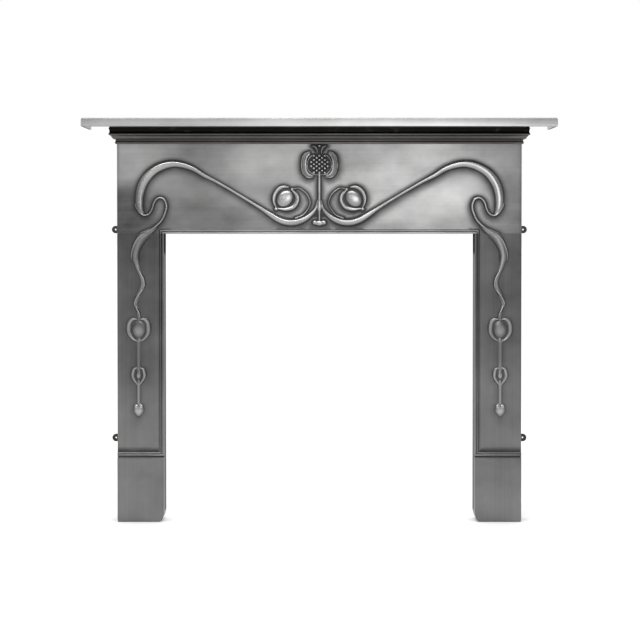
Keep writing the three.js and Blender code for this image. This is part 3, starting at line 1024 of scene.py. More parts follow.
@dataclass
class Relief:
    """All raised and sunk forms of a face, and what they do to the ground round them.

    Attributes:
        raised: The forms that stand up.
        sunk: The forms that are cut in.
        patches: Forms that only darken the ground, each with how much.
        halo: How wide the dark ground round a form is; it reaches further below as painted shade.
        halo_depth: How dark that is.
        seam_depth: How dark the line along a form's foot is.
        flank_depth: How dark a form's steep flanks are, darker where they face down as painted
            shade.
        ground_sink: How far the ground dips beside a form.
        reach: How far away from a form it still matters.
    """

    raised: list[Form] = field(default_factory=list)
    sunk: list[Form] = field(default_factory=list)
    patches: list[tuple[Form, float]] = field(default_factory=list)
    halo: float = 11.5
    halo_depth: float = 0.8
    seam_depth: float = 0.5
    flank_depth: float = 0.95
    ground_sink: float = 1.2
    reach: float = 24.0

    def read(self, x: Array, z: Array) -> tuple[Array, Array, Array]:
        """Measures places on the face.

        Args:
            x: Places along the face.
            z: Places up the face.

        Returns:
            The height over the ground, the distance outside every form, and the share of
            a form's half width where it is highest.
        """
        height = np.zeros(x.shape)
        away = np.full(x.shape, 1e3)
        across = np.ones(x.shape)
        for form in self.raised:
            near = self._near(form, x, z)
            if not near.any():
                continue
            tall, outside, share = form.read(x[near], z[near])
            across[near] = np.where(tall > height[near], np.clip(share, 0, 1), across[near])
            height[near] = self._union(height[near], tall)
            away[near] = np.minimum(away[near], outside)
        for form in self.sunk:
            near = self._near(form, x, z)
            if near.any():
                height[near] -= form.read(x[near], z[near])[0]
        return height, away, across

    @staticmethod
    def _union(first: Array, second: Array, blend: float = 0.5) -> Array:
        """Joins two heights.

        Args:
            first: One height.
            second: The other height.
            blend: How near each other they get a small fillet.

        Returns:
            The higher of the two.
        """
        gap = np.clip(1 - np.abs(first - second) / blend, 0, 1)
        both = (first > 0) & (second > 0)
        return np.maximum(first, second) + np.where(both, gap * gap * blend / 4, 0)

    def _near(self, form: Form, x: Array, z: Array) -> Array:
        """Finds the places round a form.

        Args:
            form: The form.
            x: Places along the face.
            z: Places up the face.

        Returns:
            Whether each place is close enough to matter.
        """
        if isinstance(form, Bud):
            reach = max(form.width, form.height) / 2 + self.reach
            return (np.abs(x - form.centre[0]) < reach) & (np.abs(z - form.centre[1]) < reach)
        drawn = np.asarray(form.points, float)
        reach = drawn[:, 2].max() / 2 + self.reach + PAST
        low, high = drawn[:, :2].min(0) - reach, drawn[:, :2].max(0) + reach
        return (x > low[0]) & (x < high[0]) & (z > low[1]) & (z < high[1])

    def patched(self, x: Array, z: Array) -> Array:
        """Gives how dark patches and cut-in forms make each place.

        Args:
            x: Places along the face.
            z: Places up the face.

        Returns:
            The share of the finish that is dark.
        """
        dark = np.zeros(x.shape)
        for form, depth in (*self.patches, *((groove, BLACK) for groove in self.sunk)):
            near = self._near(form, x, z)
            if near.any():
                share = np.clip((1.12 - form.read(x[near], z[near])[2]) / 0.24, 0, 1)
                dark[near] = np.maximum(dark[near], share * depth)
        return dark

    def dark_and_shade(self, height: Array, away: Array, across: Array, tilt: Array) -> Array:
        """Gives how dark each place is, from 0 to 1, with painted shade under the forms.

        Args:
            height: The relief's height there.
            away: How far outside every form it lies.
            across: The share of a form's half width.
            tilt: How far the surface faces down, from -1 to 1.

        Returns:
            The share of the finish that is dark.
        """
        gap = np.clip(away, 0, None)
        # Painted shade: the halo reaches further below a form, and flanks that face down are
        # darker.
        under = 1 + 0.4 * tilt
        halo = self.halo_depth * np.exp(-((gap / (self.halo * under)) ** 2))
        seam = self.seam_depth * np.exp(-((gap / SEAM) ** 2))
        ground = np.clip(halo + seam, 0, 1)
        flank = np.clip((across - 0.7) / 0.3, 0, 1) ** 1.5
        flank = flank * np.clip(self.flank_depth * (0.75 + 0.55 * tilt), 0, 1)
        return np.where((height > 0.4) & (away < 0.2), flank, ground)


# ---- The drawn ornament ----


def from_head(points: Line) -> Line:
    """Places points given over the opening's head."""
    return [(x, AT.head + rise, width) for x, rise, width in points]


def from_cornice(points: Line) -> Line:
    """Places points given below the cornice."""
    return [(x, AT.cornice_z - drop, width) for x, drop, width in points]


def from_corner(points: Line) -> Line:
    """Places points given from a leg's centre line and over the head."""
    return [(AT.leg_centre + x, AT.head + rise, width) for x, rise, width in points]


def below_head(points: Line) -> Line:
    """Places points given from a leg's centre line and below the head."""
    return [(AT.leg_centre + x, AT.head - drop, width) for x, drop, width in points]


RIBBON = [
    *from_head(
        [
            (4, 97, 6), (11, 74, 9), (26, 56, 13), (46, 42, 18), (70, 34, 20), (96, 34, 20),
            (120, 42, 19), (143, 56, 16), (172, 75, 10),
        ]
    ),
    *from_corner(
        [
            (-230, 149, 8), (-186, 172, 12), (-157, 190, 15), (-127, 201, 18), (-98, 205, 20),
            (-69, 200, 23), (-39, 185, 25), (-19, 165, 26), (-3, 136, 26), (3, 106, 25),
            (2, 84, 22), (-2, 68, 16), (-7, 59, 9),
        ]
    ),
]
# The thin tube that edges the ribbon's end, curls back and edges the band of the leg.
HOOK = from_corner(
    [
        (15, 90, 3), (13, 80, 5), (7, 70, 6), (-1, 60, 7), (-12, 54, 7), (-26, 59, 7),
        (-35, 74, 7), (-39, 88, 7), (-46, 100, 7), (-56, 106, 7), (-68, 103, 8), (-75, 92, 8),
        (-77, 78, 8), (-72, 59, 8), (-63, 40, 8), (-47, 23, 8), (-25, 7, 8), (-5, -3, 8),
        (9, -16, 8), (19, -34, 7), (25, -52, 6), (27, -68, 5), (25, -82, 3),
    ]
)
INNER_LIP = from_corner(
    [(-18, 143, 3), (-11, 130, 5), (-7, 115, 5), (-5, 97, 5), (-5, 77, 4), (-10, 62, 3)]
)
LEG_BAND = below_head(
    [
        (-50, -25, 10), (-36, -13, 14), (-18, 0, 22), (-7, 8, 27), (4, 24, 28), (11, 41, 26),
        (15, 58, 24), (15, 72, 21), (12, 85, 17), (9, 96, 15), (2, 113, 14), (-5, 130, 14),
        (-6, 147, 14), (-1, 164, 14), (6, 180, 14), (12, 195, 12), (13, 208, 10), (9, 224, 9),
        (6, 241, 8), (6, 259, 7),
    ]
)
# The bright edges that show the band of the leg twisting over.
TWISTS = [
    below_head([(14, 84, 3), (8, 99, 6), (0, 116, 8), (-9, 134, 8), (-11, 152, 7), (-7, 165, 3)]),
    below_head([(-9, 162, 3), (1, 174, 7), (11, 188, 8), (17, 202, 7), (18, 213, 3)]),
    below_head([(17, 208, 3), (11, 220, 6), (4, 234, 7), (1, 248, 4)]),
]
# The dark line along the inner side of the leg's band.
BAND_GROOVE = below_head([(-30, 10, 3), (-16, 22, 4), (-3, 40, 5), (4, 62, 5), (3, 82, 3)])
STEM = [
    (0, AT.cornice_z - 88, 8.5),
    *from_head([(0, 97, 10), (0, 84, 16), (0, 74, 14), (0, 65, 8), (0, 41, 7.5)]),
]
FLOWER_RIM = from_cornice(
    [
        (15, 31, 4), (25, 36, 4), (33, 48, 4), (35, 61, 4), (34, 73, 4), (27, 83, 4),
        (17, 89, 4), (1, 90, 4),
    ]
)
FLOWER_PETAL = from_cornice(
    [
        (28, 28, 5), (36, 36, 7), (41, 50, 9), (41, 64, 9), (39, 78, 9), (31, 89, 8),
        (20, 93, 5),
    ]
)
PETAL_BED = from_cornice(
    [
        (29, 24, 6), (41, 32, 14), (46, 47, 17), (46, 62, 18), (44, 78, 17), (34, 92, 13),
        (20, 96, 6),
    ]
)
PETAL_EDGE = from_cornice(
    [
        (29, 22, 3), (42, 27, 4), (50, 40, 5), (52, 58, 5), (51, 74, 5), (45, 89, 4), (34, 98, 4),
        (22, 98, 3),
    ]
)
FLOWER_NECK = from_cornice([(20, 5, 4), (11, 9, 5), (7, 17, 5), (6, 27, 4)])
# The seeds' rows and places along a row, their pitch across and down, their width and height,
# and the round field they fill: its middle below the cornice, its half width and half height.
SEED_ROWS = range(9)
SEED_PLACES = range(-3, 4)
SEED_PITCH = (8.0, 6.2)
SEED_WIDTH, SEED_OUT = 9.5, 6.6
SEED_FIELD = (59.0, 30.0, 29.5)
POD_STEM = from_head(
    [
        (82, 131, 4), (61, 134, 4), (48, 127, 4), (35, 114, 4), (27, 92, 4), (33, 74, 4),
        (49, 55, 5), (70, 46, 6),
    ]
)
POD_OUTER_SEPAL = from_head(
    [(92, 137, 7), (109, 137, 12), (125, 126, 13), (133, 108, 12), (132, 90, 9), (127, 79, 5)]
)
POD_INNER_SEPAL = from_head(
    [(77, 125, 7), (66, 113, 12), (65, 97, 13), (76, 79, 13), (98, 72, 11), (120, 74, 6)]
)


@dataclass(frozen=True)
class Pod:
    """One seed pod of a leg.

    Attributes:
        percent: How far down the panel it hangs.
        width: The bud's width.
        height: The bud's height.
        sepal: The line of the right-hand sepal from the bud's middle, as [x, z, width].
    """

    percent: float
    width: float
    height: float
    sepal: tuple[tuple[float, float, float], ...]


# The height of a leg's panel, and how far the stem with the pods stands off its centre line.
LEG_PANEL = AT.head - AT.moulding_z
STEM_SHIFT = 6.0
PODS = (
    Pod(
        43.0, 38, 50,
        (
            (6, 29, 6), (16, 30, 11), (26, 21, 14), (29, 6, 15), (27, -11, 14), (18, -26, 10),
            (7, -34, 6),
        ),
    ),
    Pod(
        63.5, 15, 27,
        ((6, 20, 5), (13, 17, 10), (17, 3, 12), (15, -9, 11), (9, -20, 8), (3, -29, 5)),
    ),
)
# How far down the panel the drop at the stem's end hangs.
DROP_PERCENT = 79.3


def down_leg(percent: float) -> tuple[float, float]:
    """Gives the stem's place at a percentage of the leg's panel."""
    return AT.leg_centre + STEM_SHIFT, AT.head - percent / 100 * LEG_PANEL


def pod_forms(pod: Pod) -> list[Form]:
    """Draws one pod of the leg.

    Args:
        pod: The pod's sizes.

    Returns:
        Its bud, the knot under it and its two sepals.
    """
    x, z = down_leg(pod.percent)
    forms: list[Form] = [
        Bud((x, z), pod.width, pod.height, 4.2),
        Bud((x, z - pod.height * 0.66), pod.width * 0.32, pod.height * 0.24, 3.0),
    ]
    for hand in (-1, 1):
        line = [(x + hand * out, z + up, width) for out, up, width in pod.sepal]
        forms.append(Stroke(line, 4.8, crest=0.3 * hand, slope=0.6))
    return forms


def leg_forms() -> list[Form]:
    """Draws everything on the right leg and the corner over it.

    Returns:
        The ribbon with its hook, the band, the stem, the pods and the drop.
    """
    (_, first), (_, second), (x, z) = (
        down_leg(percent) for percent in (PODS[0].percent, PODS[1].percent, DROP_PERCENT)
    )
    forms: list[Form] = [
        Stroke(RIBBON, 8.0, crest=0.2),
        Stroke(INNER_LIP, 6.5, slope=0.9),
        Stroke(HOOK, 6.8, slope=0.85),
        Stroke(LEG_BAND, 4.4, crest=0.1, slope=0.28),
        Stroke([(x, first - 30, 13), (x, second + 10, 12)], 2.2),
        Stroke([(x, second - 22, 11), (x, z + 10, 10)], 3.6),
        Bud((x, z), 31, 42, 5.5, point=0.75),
        Bud((x - 7, z + 10), 14, 15, 5.8, lean=0.5),
        Bud((x + 7, z + 10), 14, 15, 5.8, lean=-0.5),
    ]
    forms += [Stroke(line, 6.6, slope=0.9) for line in TWISTS]
    for pod in PODS:
        forms += pod_forms(pod)
    return forms


def spray_forms() -> list[Form]:
    """Draws the centre flower, its stem and cups, and both side pods.

    Returns:
        The forms of the middle, then of the left, the right and the seeds.
    """
    middle: list[Form] = [
        Stroke(STEM, 6.0, slope=0.6),
        Bud((0, AT.cornice_z - 5), 10, 8, 4.5),
        Bud((-13, AT.head + 33), 17, 15, 6.0),
        Bud((13, AT.head + 33), 17, 15, 6.0),
        Bud((0, AT.head + 31), 28, 17, 6.4),
    ]
    right: list[Form] = [
        Stroke(FLOWER_RIM, 4.6, slope=0.8),
        Stroke(PETAL_BED, 2.3, slope=0.5),
        Stroke(FLOWER_PETAL, 5.0, crest=-0.3, slope=0.6),
        Stroke(PETAL_EDGE, 6.0, slope=1.1),
        Stroke(FLOWER_NECK, 5.0, slope=1.1),
        Stroke(POD_STEM, 4.2, slope=0.8),
        Stroke(POD_OUTER_SEPAL, 7.0, crest=0.25, slope=0.75),
        Stroke(POD_INNER_SEPAL, 4.6, crest=-0.3, slope=0.6),
        Bud((101, AT.head + 103), 42, 54, 6.2, lean=0.7),
        Bud((80, AT.head + 130), 11, 11, 6.2),
        Bud((127, AT.head + 73), 12, 12, 6.2),
    ]
    return [*middle, *(form.mirrored() for form in right), *right, *seeds()]


def seeds() -> list[Form]:
    """Sets the flower's seeds in staggered rows inside their round field.

    Returns:
        The seeds.
    """
    middle, half_width, half_height = SEED_FIELD
    across, down = SEED_PITCH
    forms: list[Form] = []
    for row in SEED_ROWS:
        drop = (row - (len(SEED_ROWS) - 1) / 2) * down
        for place in SEED_PLACES:
            x, z = place * across, AT.cornice_z - middle - drop
            inside = (x / half_width) ** 2 + (drop / half_height) ** 2 < 1
            if inside and (place + row) % 2 == 0:
                forms.append(Bud((x, z), SEED_WIDTH, SEED_WIDTH, SEED_OUT))
    return forms


# Places that stay dark: the box over the flower, the ground under the seeds, and the petals'
# beds.
DARK_PATCHES: list[tuple[Form, float]] = [
    (Stroke([(0, AT.cornice_z + 4, 48), (0, AT.cornice_z - 6, 47)], 1.0), BLACK),
    (Bud((0, AT.cornice_z - 59), 68, 62, 1.0), BLACK),
    (Stroke(PETAL_BED, 1.0), 0.5),
    (Stroke(PETAL_BED, 1.0).mirrored(), 0.5),
]
# The small hollows on both sides of the stem's foot.
EYES: list[Form] = [Bud((hand * 11.5, AT.head + 54), 11, 13, 5.0) for hand in (-1, 1)]


# ---- The moulding round the opening ----

# How high the moulding stands at each distance from its inner edge.
MOULDING = [
    (0.0, 4.9), (0.7, 5.5), (4.7, 5.5), (5.5, 4.6), (6.0, 3.2), (6.6, 4.4), (7.3, 6.2),
    (8.2, 6.9), (8.9, 7.0), (9.6, 6.8), (10.4, 6.0), (11.2, 4.5), (12.1, 2.4), (13.2, 0.0),
]


# Its width, how far in its groove lies, how far the plinth stands out of the panel, and the gap
# between the plinth and the moulding.
MOULDING_WIDTH = MOULDING[-1][0]
GROOVE_AT = 6.0
PLINTH_OUT = AT.panel_y - AT.face_y
PLINTH_GAP = AT.moulding_z - AT.plinth_top
# The plinth's top edge: its rounding, where its mesh lines run, and the line just over it that
# makes it a step.
PLINTH_ARRIS = 1.6
PLINTH_STEPS = (0, 0.2, 0.6, 1.1, PLINTH_ARRIS)
PLINTH_STEP = 0.05
# A distance that is far inside, and one that is far outside of all mouldings.
FAR_INSIDE, FAR_OUTSIDE = -30.0, 50.0


def moulding_height(inward: Array) -> Array:
    """Gives the moulding's height.

    Args:
        inward: Distances from its inner edge.

    Returns:
        The heights there, and zero beside it.
    """
    drawn = np.asarray(MOULDING)
    height = np.interp(inward, drawn[:, 0], drawn[:, 1])
    return np.where((inward < 0) | (inward > MOULDING_WIDTH), 0, height)


def rounding(radius: float, gap: Array) -> Array:
    """Gives how far a rounded edge falls.

    Args:
        radius: The edge's rounding.
        gap: Distances from the edge, across the face.

    Returns:
        The fall there, and zero further in than the radius.
    """
    inside = np.clip(radius - gap, 0, radius)
    return radius - np.sqrt(np.maximum(radius**2 - inside**2, 0))


# ---- Plates ----


@dataclass
class FacePlate:
    """The front wall of a casting, with its relief standing out of the ground.

    Attributes:
        name: The piece's name.
        low: Its lower left corner's [x, z].
        high: Its upper right corner's [x, z].
        relief: The forms on it.
        cell: The size of the coarse mesh's faces.
        levels: How near what is fine the mesh is halved, one time after another.
        arris: The rounding of its edges.
        cuts_x: Where upright lines are cut into the mesh.
        cuts_z: Where level lines are cut into the mesh.
        groove_dark: How dark the moulding's groove is.
        beside_dark: How dark the ground beside the moulding is.
        corner: How far round a corner of the moulding the mesh is fine.
    """

    name: str
    low: tuple[float, float]
    high: tuple[float, float]
    relief: Relief
    cell: float = 9.6
    levels: tuple[float, ...] = (16.0, 7.5, 2.0)
    arris: float = 2.0
    cuts_x: list[float] = field(default_factory=list)
    cuts_z: list[float] = field(default_factory=list)
    groove_dark: float = 0.9
    beside_dark: float = 0.7
    corner: float = 7.0

    def frame_height(self, x: Array, z: Array) -> tuple[Array, Array]:
        """Gives the height of the moulding and how far outside it a place lies."""
        inward = np.maximum(np.abs(x) - AT.half_opening, z - AT.head)
        return moulding_height(inward), inward - MOULDING_WIDTH

    def edge_distance(self, x: Array, z: Array) -> Array:
        """Gives how far a place is from the plate's rounded edges."""
        return AT.half_width - np.abs(x)

    def dense(self, x: Array, z: Array) -> Array:
        """Gives how far places are from what needs a fine mesh.

        Args:
            x: Places along the face.
            z: Places up the face.

        Returns:
            The distance from the relief and the moulding's corners.
        """
        _, away, _ = self.relief.read(x, z)
        across = np.abs(np.abs(x) - AT.half_opening - GROOVE_AT)
        corner = np.maximum(across, np.abs(z - AT.head - GROOVE_AT)) - self.corner
        return np.minimum(away, corner)

    def build(self) -> Solid:
        """Models the plate.

        Returns:
            The closed plate, with its dark and crest shares stored on its vertices, both partly
            painted light.
        """
        size = (self.high[0] - self.low[0], self.high[1] - self.low[1])
        Bench.clear()
        bpy.ops.mesh.primitive_grid_add(
            x_subdivisions=round(size[0] / self.cell),
            y_subdivisions=round(size[1] / self.cell),
            size=1,
            location=(
                (self.low[0] + self.high[0]) / 2 * MM,
                AT.panel_y * MM,
                (self.low[1] + self.high[1]) / 2 * MM,
            ),
            rotation=(math.pi / 2, 0, 0),
        )
        plate = bpy.context.object
        plate.scale = (size[0] * MM, size[1] * MM, 1)
        plate.name = self.name
        plate.data.name = self.name
        Bench.settle(plate)
        for reach in self.levels:
            centres, _ = Bench.faces(plate)
            Bench.edit_faces(plate, self.dense(centres[:, 0], centres[:, 2]) < reach)
            bpy.ops.mesh.subdivide(number_cuts=1)
            bpy.ops.object.mode_set(mode="OBJECT")
        self._cut_lines(plate)
        self._raise(plate)
        self._close(plate)
        return plate

    def _cut_lines(self, plate: Solid) -> None:
        """Cuts the mesh along the moulding's and the arrises' lines.

        Args:
            plate: The plate.
        """
        Bench.pick(plate)
        bpy.ops.object.mode_set(mode="EDIT")
        for normal, places in (((1, 0, 0), self.cuts_x), ((0, 0, 1), self.cuts_z)):
            for place in places:
                bpy.ops.mesh.select_all(action="SELECT")
                co = tuple(place * MM * value for value in normal)
                bpy.ops.mesh.bisect(plane_co=co, plane_no=normal, threshold=0.00005)
        bpy.ops.object.mode_set(mode="OBJECT")

    def _raise(self, plate: Solid) -> None:
        """Moves every point of the ground to its height, and stores the dark and crest shares.

        Args:
            plate: The flat plate with its fine mesh.
        """
        places = Bench.points(plate)
        x, z = places[:, 0], places[:, 2]
        height, away, across = self.relief.read(x, z)
        above, away_above, _ = self.relief.read(x, z + 1.0)
        tilt = np.clip(np.where(away > 0, away - away_above, (above - height) * 1.2), -1, 1)
        moulding, beyond = self.frame_height(x, z)
        # The dark share: iron that isn't polished round the relief, with painted shade below the
        # forms.
        dark_and_shade = self.relief.dark_and_shade(height, away, across, tilt)
        sink = np.clip((9 - away) / 6, 0, 1) * self.relief.ground_sink
        ground = np.where(height > GROUND, 0, -sink * (beyond > 0))
        top = np.maximum(np.maximum(height, moulding), ground)
        patch = self.relief.patched(x, z) * np.clip(3.4 - height, 0, 1)
        dark_and_shade = np.where(beyond < 0, 0, np.maximum(dark_and_shade, patch))
        # The moulding's dark lines, and on a leg the painted shade over the plinth.
        dark_and_shade = np.maximum(dark_and_shade, self.frame_darkening(x, z, beyond))
        top = top - rounding(self.arris, self.edge_distance(x, z))
        places[:, 1] = AT.panel_y - top
        Bench.move_points(plate, self.shaped(places))
        # The crest share: rubbed crests, with a painted highlight that grows where the surface
        # faces up.
        crest = np.clip((0.7 - across) / 0.5, 0, 1) * np.clip((height - 1) / 5, 0, 1)
        crest = crest * np.clip(0.8 - 0.7 * tilt, 0.2, 1)
        for name, values in (("dark_and_shade", dark_and_shade), ("crest", crest)):
            layer = plate.data.attributes.new(name, "FLOAT", "POINT")
            layer.data.foreach_set("value", np.clip(values, 0, 1).astype(np.float32))

    def frame_darkening(self, x: Array, z: Array, beyond: Array) -> Array:
        """Gives the dark lines in and beside the opening's moulding.

        Args:
            x: Places along the face; not used here.
            z: Places up the face; not used here.
            beyond: How far outside the moulding they lie.

        Returns:
            The share of the finish that is dark.
        """
        beside = np.exp(-((np.clip(beyond, 0, None) / 3.0) ** 2)) * (beyond >= 0)
        beside = self.beside_dark * beside
        off = (beyond + MOULDING_WIDTH) - GROOVE_AT
        groove = self.groove_dark * np.exp(-(off**2) / 0.6)
        return np.where(beyond < 0, groove, beside)

    def shaped(self, places: Array) -> Array:
        """Leaves the plate's outline as it is; a leg rounds its corners here."""
        return places

    def _close(self, plate: Solid) -> None:
        """Gives the plate its edges and its flat back.

        Args:
            plate: The raised plate, still open.
        """
        Bench.pick(plate)
        bpy.context.tool_settings.mesh_select_mode = (False, True, False)
        bpy.ops.object.mode_set(mode="EDIT")
        bpy.ops.mesh.select_all(action="DESELECT")
        bpy.ops.mesh.select_non_manifold(
            extend=False, use_wire=False, use_boundary=True, use_multi_face=False,
            use_non_contiguous=False, use_verts=False,
        )
        bpy.ops.mesh.extrude_region_move(TRANSFORM_OT_translate={"value": (0, 0.004, 0)})
        bpy.ops.object.mode_set(mode="OBJECT")
        chosen = np.empty(len(plate.data.vertices), dtype=bool)
        plate.data.vertices.foreach_get("select", chosen)
        places = Bench.points(plate)
        places[chosen, 1] = AT.panel_y + AT.wall
        Bench.move_points(plate, places)
        bpy.ops.object.mode_set(mode="EDIT")
        bpy.ops.mesh.edge_face_add()
        Bench.face_outward()
        Bench.smooth(plate, 50)


@dataclass
class LegPlate(FacePlate):
    """A leg's front wall, with its plinth and its rounded foot.

    Attributes:
        heel: The rounding of the foot's outer corner.
        plinth_corner: Where the moulding turns over the plinth, as [x, z].
        gap_height: How far the gap over the plinth stands out of the ground.
        gap_level: The height of the gap's middle.
        gap_dark: How dark the gap is.
        hollow_shade: How dark the painted shade on the ground over the moulding is.
        hollow_reach: How far up that goes.
    """

    heel: float = 5.0
    plinth_corner: tuple[float, float] = (463.0, 200.0)
    gap_height: float = 0.4
    gap_level: float = 192.2
    gap_dark: float = 0.85
    hollow_shade: float = 0.75
    hollow_reach: float = 7.0

    def frame_height(self, x: Array, z: Array) -> tuple[Array, Array]:
        """Measures places against the moulding and the plinth.

        Args:
            x: Places along the face.
            z: Places up the face.

        Returns:
            The height there, and how far outside the moulding it lies.
        """
        beside = np.maximum(np.abs(x) - AT.half_opening, z - AT.head)
        inward = np.minimum(beside, z - AT.moulding_z)
        height = moulding_height(inward)
        drop = AT.plinth_top - z
        height = np.where(drop >= 0, PLINTH_OUT - rounding(PLINTH_ARRIS, drop), height)
        height = np.where((drop < 0) & (drop > -PLINTH_GAP), self.gap_height, height)
        return height, np.where(drop > -PLINTH_GAP, FAR_INSIDE, inward - MOULDING_WIDTH)

    def frame_darkening(self, x: Array, z: Array, beyond: Array) -> Array:
        """Adds painted shade in the hollow over the plinth's moulding, and the dark gap under it.

        Args:
            x: Places along the face.
            z: Places up the face.
            beyond: How far outside the moulding they lie.

        Returns:
            The share of the finish that is dark.
        """
        lines = super().frame_darkening(x, z, np.where(beyond < -20, FAR_OUTSIDE, beyond))
        # Painted shade in the hollow where the panel meets the moulding over the plinth.
        over = z - AT.moulding_z - MOULDING_WIDTH
        inside = np.clip((x - AT.half_opening - 12) / 6, 0, 1) * (over > -0.3)
        fading = np.exp(-((np.clip(over - 2, 0, None) / self.hollow_reach) ** 2))
        hollow = self.hollow_shade * fading * inside
        gap = self.gap_dark * np.exp(-(((z - self.gap_level) / 2.2) ** 2)) * (z < AT.moulding_z)
        return np.maximum(np.maximum(lines, hollow), gap)

    def edge_distance(self, x: Array, z: Array) -> Array:
        """Gives how far places are from the edges that are rounded.

        Args:
            x: Places along the face.
            z: Places up the face.

        Returns:
            The distance from the outer edge, and on the plinth also from the inner edge and
            the foot.
        """
        plinth = np.minimum(x - AT.half_opening, z)
        return np.minimum(AT.half_width - x, np.where(z < AT.plinth_top, plinth, FAR_OUTSIDE))

    def dense(self, x: Array, z: Array) -> Array:
        """Gives how far places are from what needs a fine mesh.

        Args:
            x: Places along the face.
            z: Places up the face.

        Returns:
            The distance from the relief, the moulding's lower corner and the toe.
        """
        _, away, _ = self.relief.read(x, z)
        column, level = self.plinth_corner
        corner = np.maximum(np.abs(x - column), np.abs(z - level)) - self.corner
        width, height = TOE
        beside = np.clip(x - AT.half_opening - width, 0, None)
        foot = np.hypot(beside, np.clip(z - height, 0, None)) + PAST
        return np.minimum(np.minimum(away, corner), foot)

    def shaped(self, places: Array) -> Array:
        """Rounds the inner and the outer corner of the foot.

        Args:
            places: Every vertex.

        Returns:
            The same vertices, moved in where the corners are round.
        """
        x, z = places[:, 0], places[:, 2]
        width, height = TOE
        up = np.clip((height - z) / height, 0, 1)
        inner = AT.half_opening + width * (1 - np.sqrt(1 - up**2))
        up = np.clip((self.heel - z) / self.heel, 0, 1)
        outer = AT.half_width - self.heel * (1 - np.sqrt(1 - up**2))
        share = (x - AT.half_opening) / (AT.half_width - AT.half_opening)
        places[:, 0] = inner + share * (outer - inner)
        return places


# ---- Castings ----


@dataclass(frozen=True)
class Lug:
    """A fixing lug on the right-hand return, with its back against the wall.

    Attributes:
        out: How far its hole's middle stands outside the return.
        radius: The rounding of its tip, and half its height.
        thickness: Front to back.
        hole: The screw hole's diameter.
        edge: The rounding of its edges.
    """

    out: float = 12.0
    radius: float = 11.0
    thickness: float = 7.0
    hole: float = 5.5
    edge: float = 1.2

    def build(self, name: str, level: float) -> Solid:
        """Models the lug.

        Args:
            name: The lug's name.
            level: Its middle's height.

        Returns:
            The lug with its screw hole.
        """
        eye = AT.half_width + self.out
        middle = (eye, AT.wall_y - self.thickness / 2, level)
        body = Bench.block(
            name,
            (AT.half_width - 2, AT.wall_y - self.thickness, level - self.radius),
            (eye, AT.wall_y, level + self.radius),
        )
        tip = Bench.rod("lug_tip", middle, 2 * self.radius, self.thickness, "Y", 48)
        Bench.combine(body, tip, "UNION")
        hole = Bench.rod("lug_hole", middle, self.hole, 3 * self.thickness, "Y", 32)
        Bench.combine(body, hole, "DIFFERENCE")
        return Bench.soften(body, self.edge)


def bolt_slot(x: float, bottom: float, top: float, width: float) -> Solid:
    """Models the cutter of a flange's bolt slot, which is open at the back.

    Args:
        x: The bolt's place.
        bottom: Where the cutter starts.
        top: Where it ends.
        width: The slot's width.

    Returns:
        The cutter.
    """
    half = width / 2
    slot = Bench.rod("slot", (x, AT.bolt_y, (bottom + top) / 2), width, top - bottom)
    mouth = Bench.block("mouth", (x - half, AT.bolt_y, bottom), (x + half, AT.wall_y + PAST, top))
    return Bench.combine(slot, mouth, "UNION")


@dataclass
class Finishes:
    """The materials that the castings share."""

    header: bpy.types.Material
    leg: bpy.types.Material
    inner: bpy.types.Material
    shelf: bpy.types.Material
    cornice: bpy.types.Material
    casting: bpy.types.Material
    steel: bpy.types.Material

    @classmethod
    def made(cls) -> "Finishes":
        """Builds them all.

        Returns:
            The finishes.
        """
        return cls(
            # The header's level above the legs' is painted light: both are the same polished iron.
            header=PolishedIron(
                "polished_header",
                Grain.ACROSS,
                level=0.26,
                burnish_and_highlight=0.16,
                clouded=0.34,
                corners=0.085,
                # Painted reflection and shade: darker low down, in a band left of the middle, and
                # at the right end.
                shades=(
                    Shade("Z", 1.0, 0.85, 0.04),
                    Shade("X", -0.46, -0.36, 0.045),
                    Shade("X", -0.27, -0.19, -0.045),
                    Shade("X", 0.48, 0.6, 0.02),
                ),
            ).material(),
            leg=PolishedIron(
                "polished_leg",
                Grain.UPRIGHT,
                level=0.19,
                burnish_and_highlight=0.3,
                clouded=0.12,
                # Painted shade: darker towards the head, and a little darker on the plinth.
                shades=(
                    Shade("Z", 0.24, 0.62, 0.07),
                    Shade("Z", 0.6, 0.84, 0.02),
                    Shade("Z", 0.2, 0.18, 0.015),
                ),
            ).material(),
            # A dull copy of the polished iron, not metallic, kept dark as painted shade beside the
            # opening.
            inner=PolishedIron(
                "shaded_return",
                Grain.UPRIGHT,
                level=0.165,
                clouded=0.03,
                metal=0.0,
                sheen=0.0,
                smoothness=(0.6, 0.7),
                # Painted shadow: black close under the head.
                shades=(Shade("Z", 0.782, 0.796, 0.15),),
            ).material(),
            shelf=PolishedIron(
                "brushed_shelf",
                Grain.ACROSS,
                level=0.41,
                spare=0.08,
                clouded=0.3,
                smoothness=(0.25, 0.4),
                # Painted light and shade: darker towards the left end, and a little brighter
                # towards the right one.
                shades=(Shade("X", -0.2, -0.45, 0.085), Shade("X", 0.4, 0.6, -0.02)),
            ).material(),
            # The cornice is blacked, and its dark tone also stands in as painted shade under the
            # shelf.
            cornice=BlackedIron(
                "blacked_and_shaded_cornice",
                level=0.1,
                rough=0.4,
                grit=0.0003,
                metal=1.0,
                # Painted shadow: black close under the shelf.
                shades=(Shade("Z", 1.1405, 1.1435, 0.093),),
            ).material(),
            casting=BlackedIron("sand_cast_back", level=0.045, rough=0.62).material(),
            steel=BlackedSteel("blacked_steel").material(),
        )


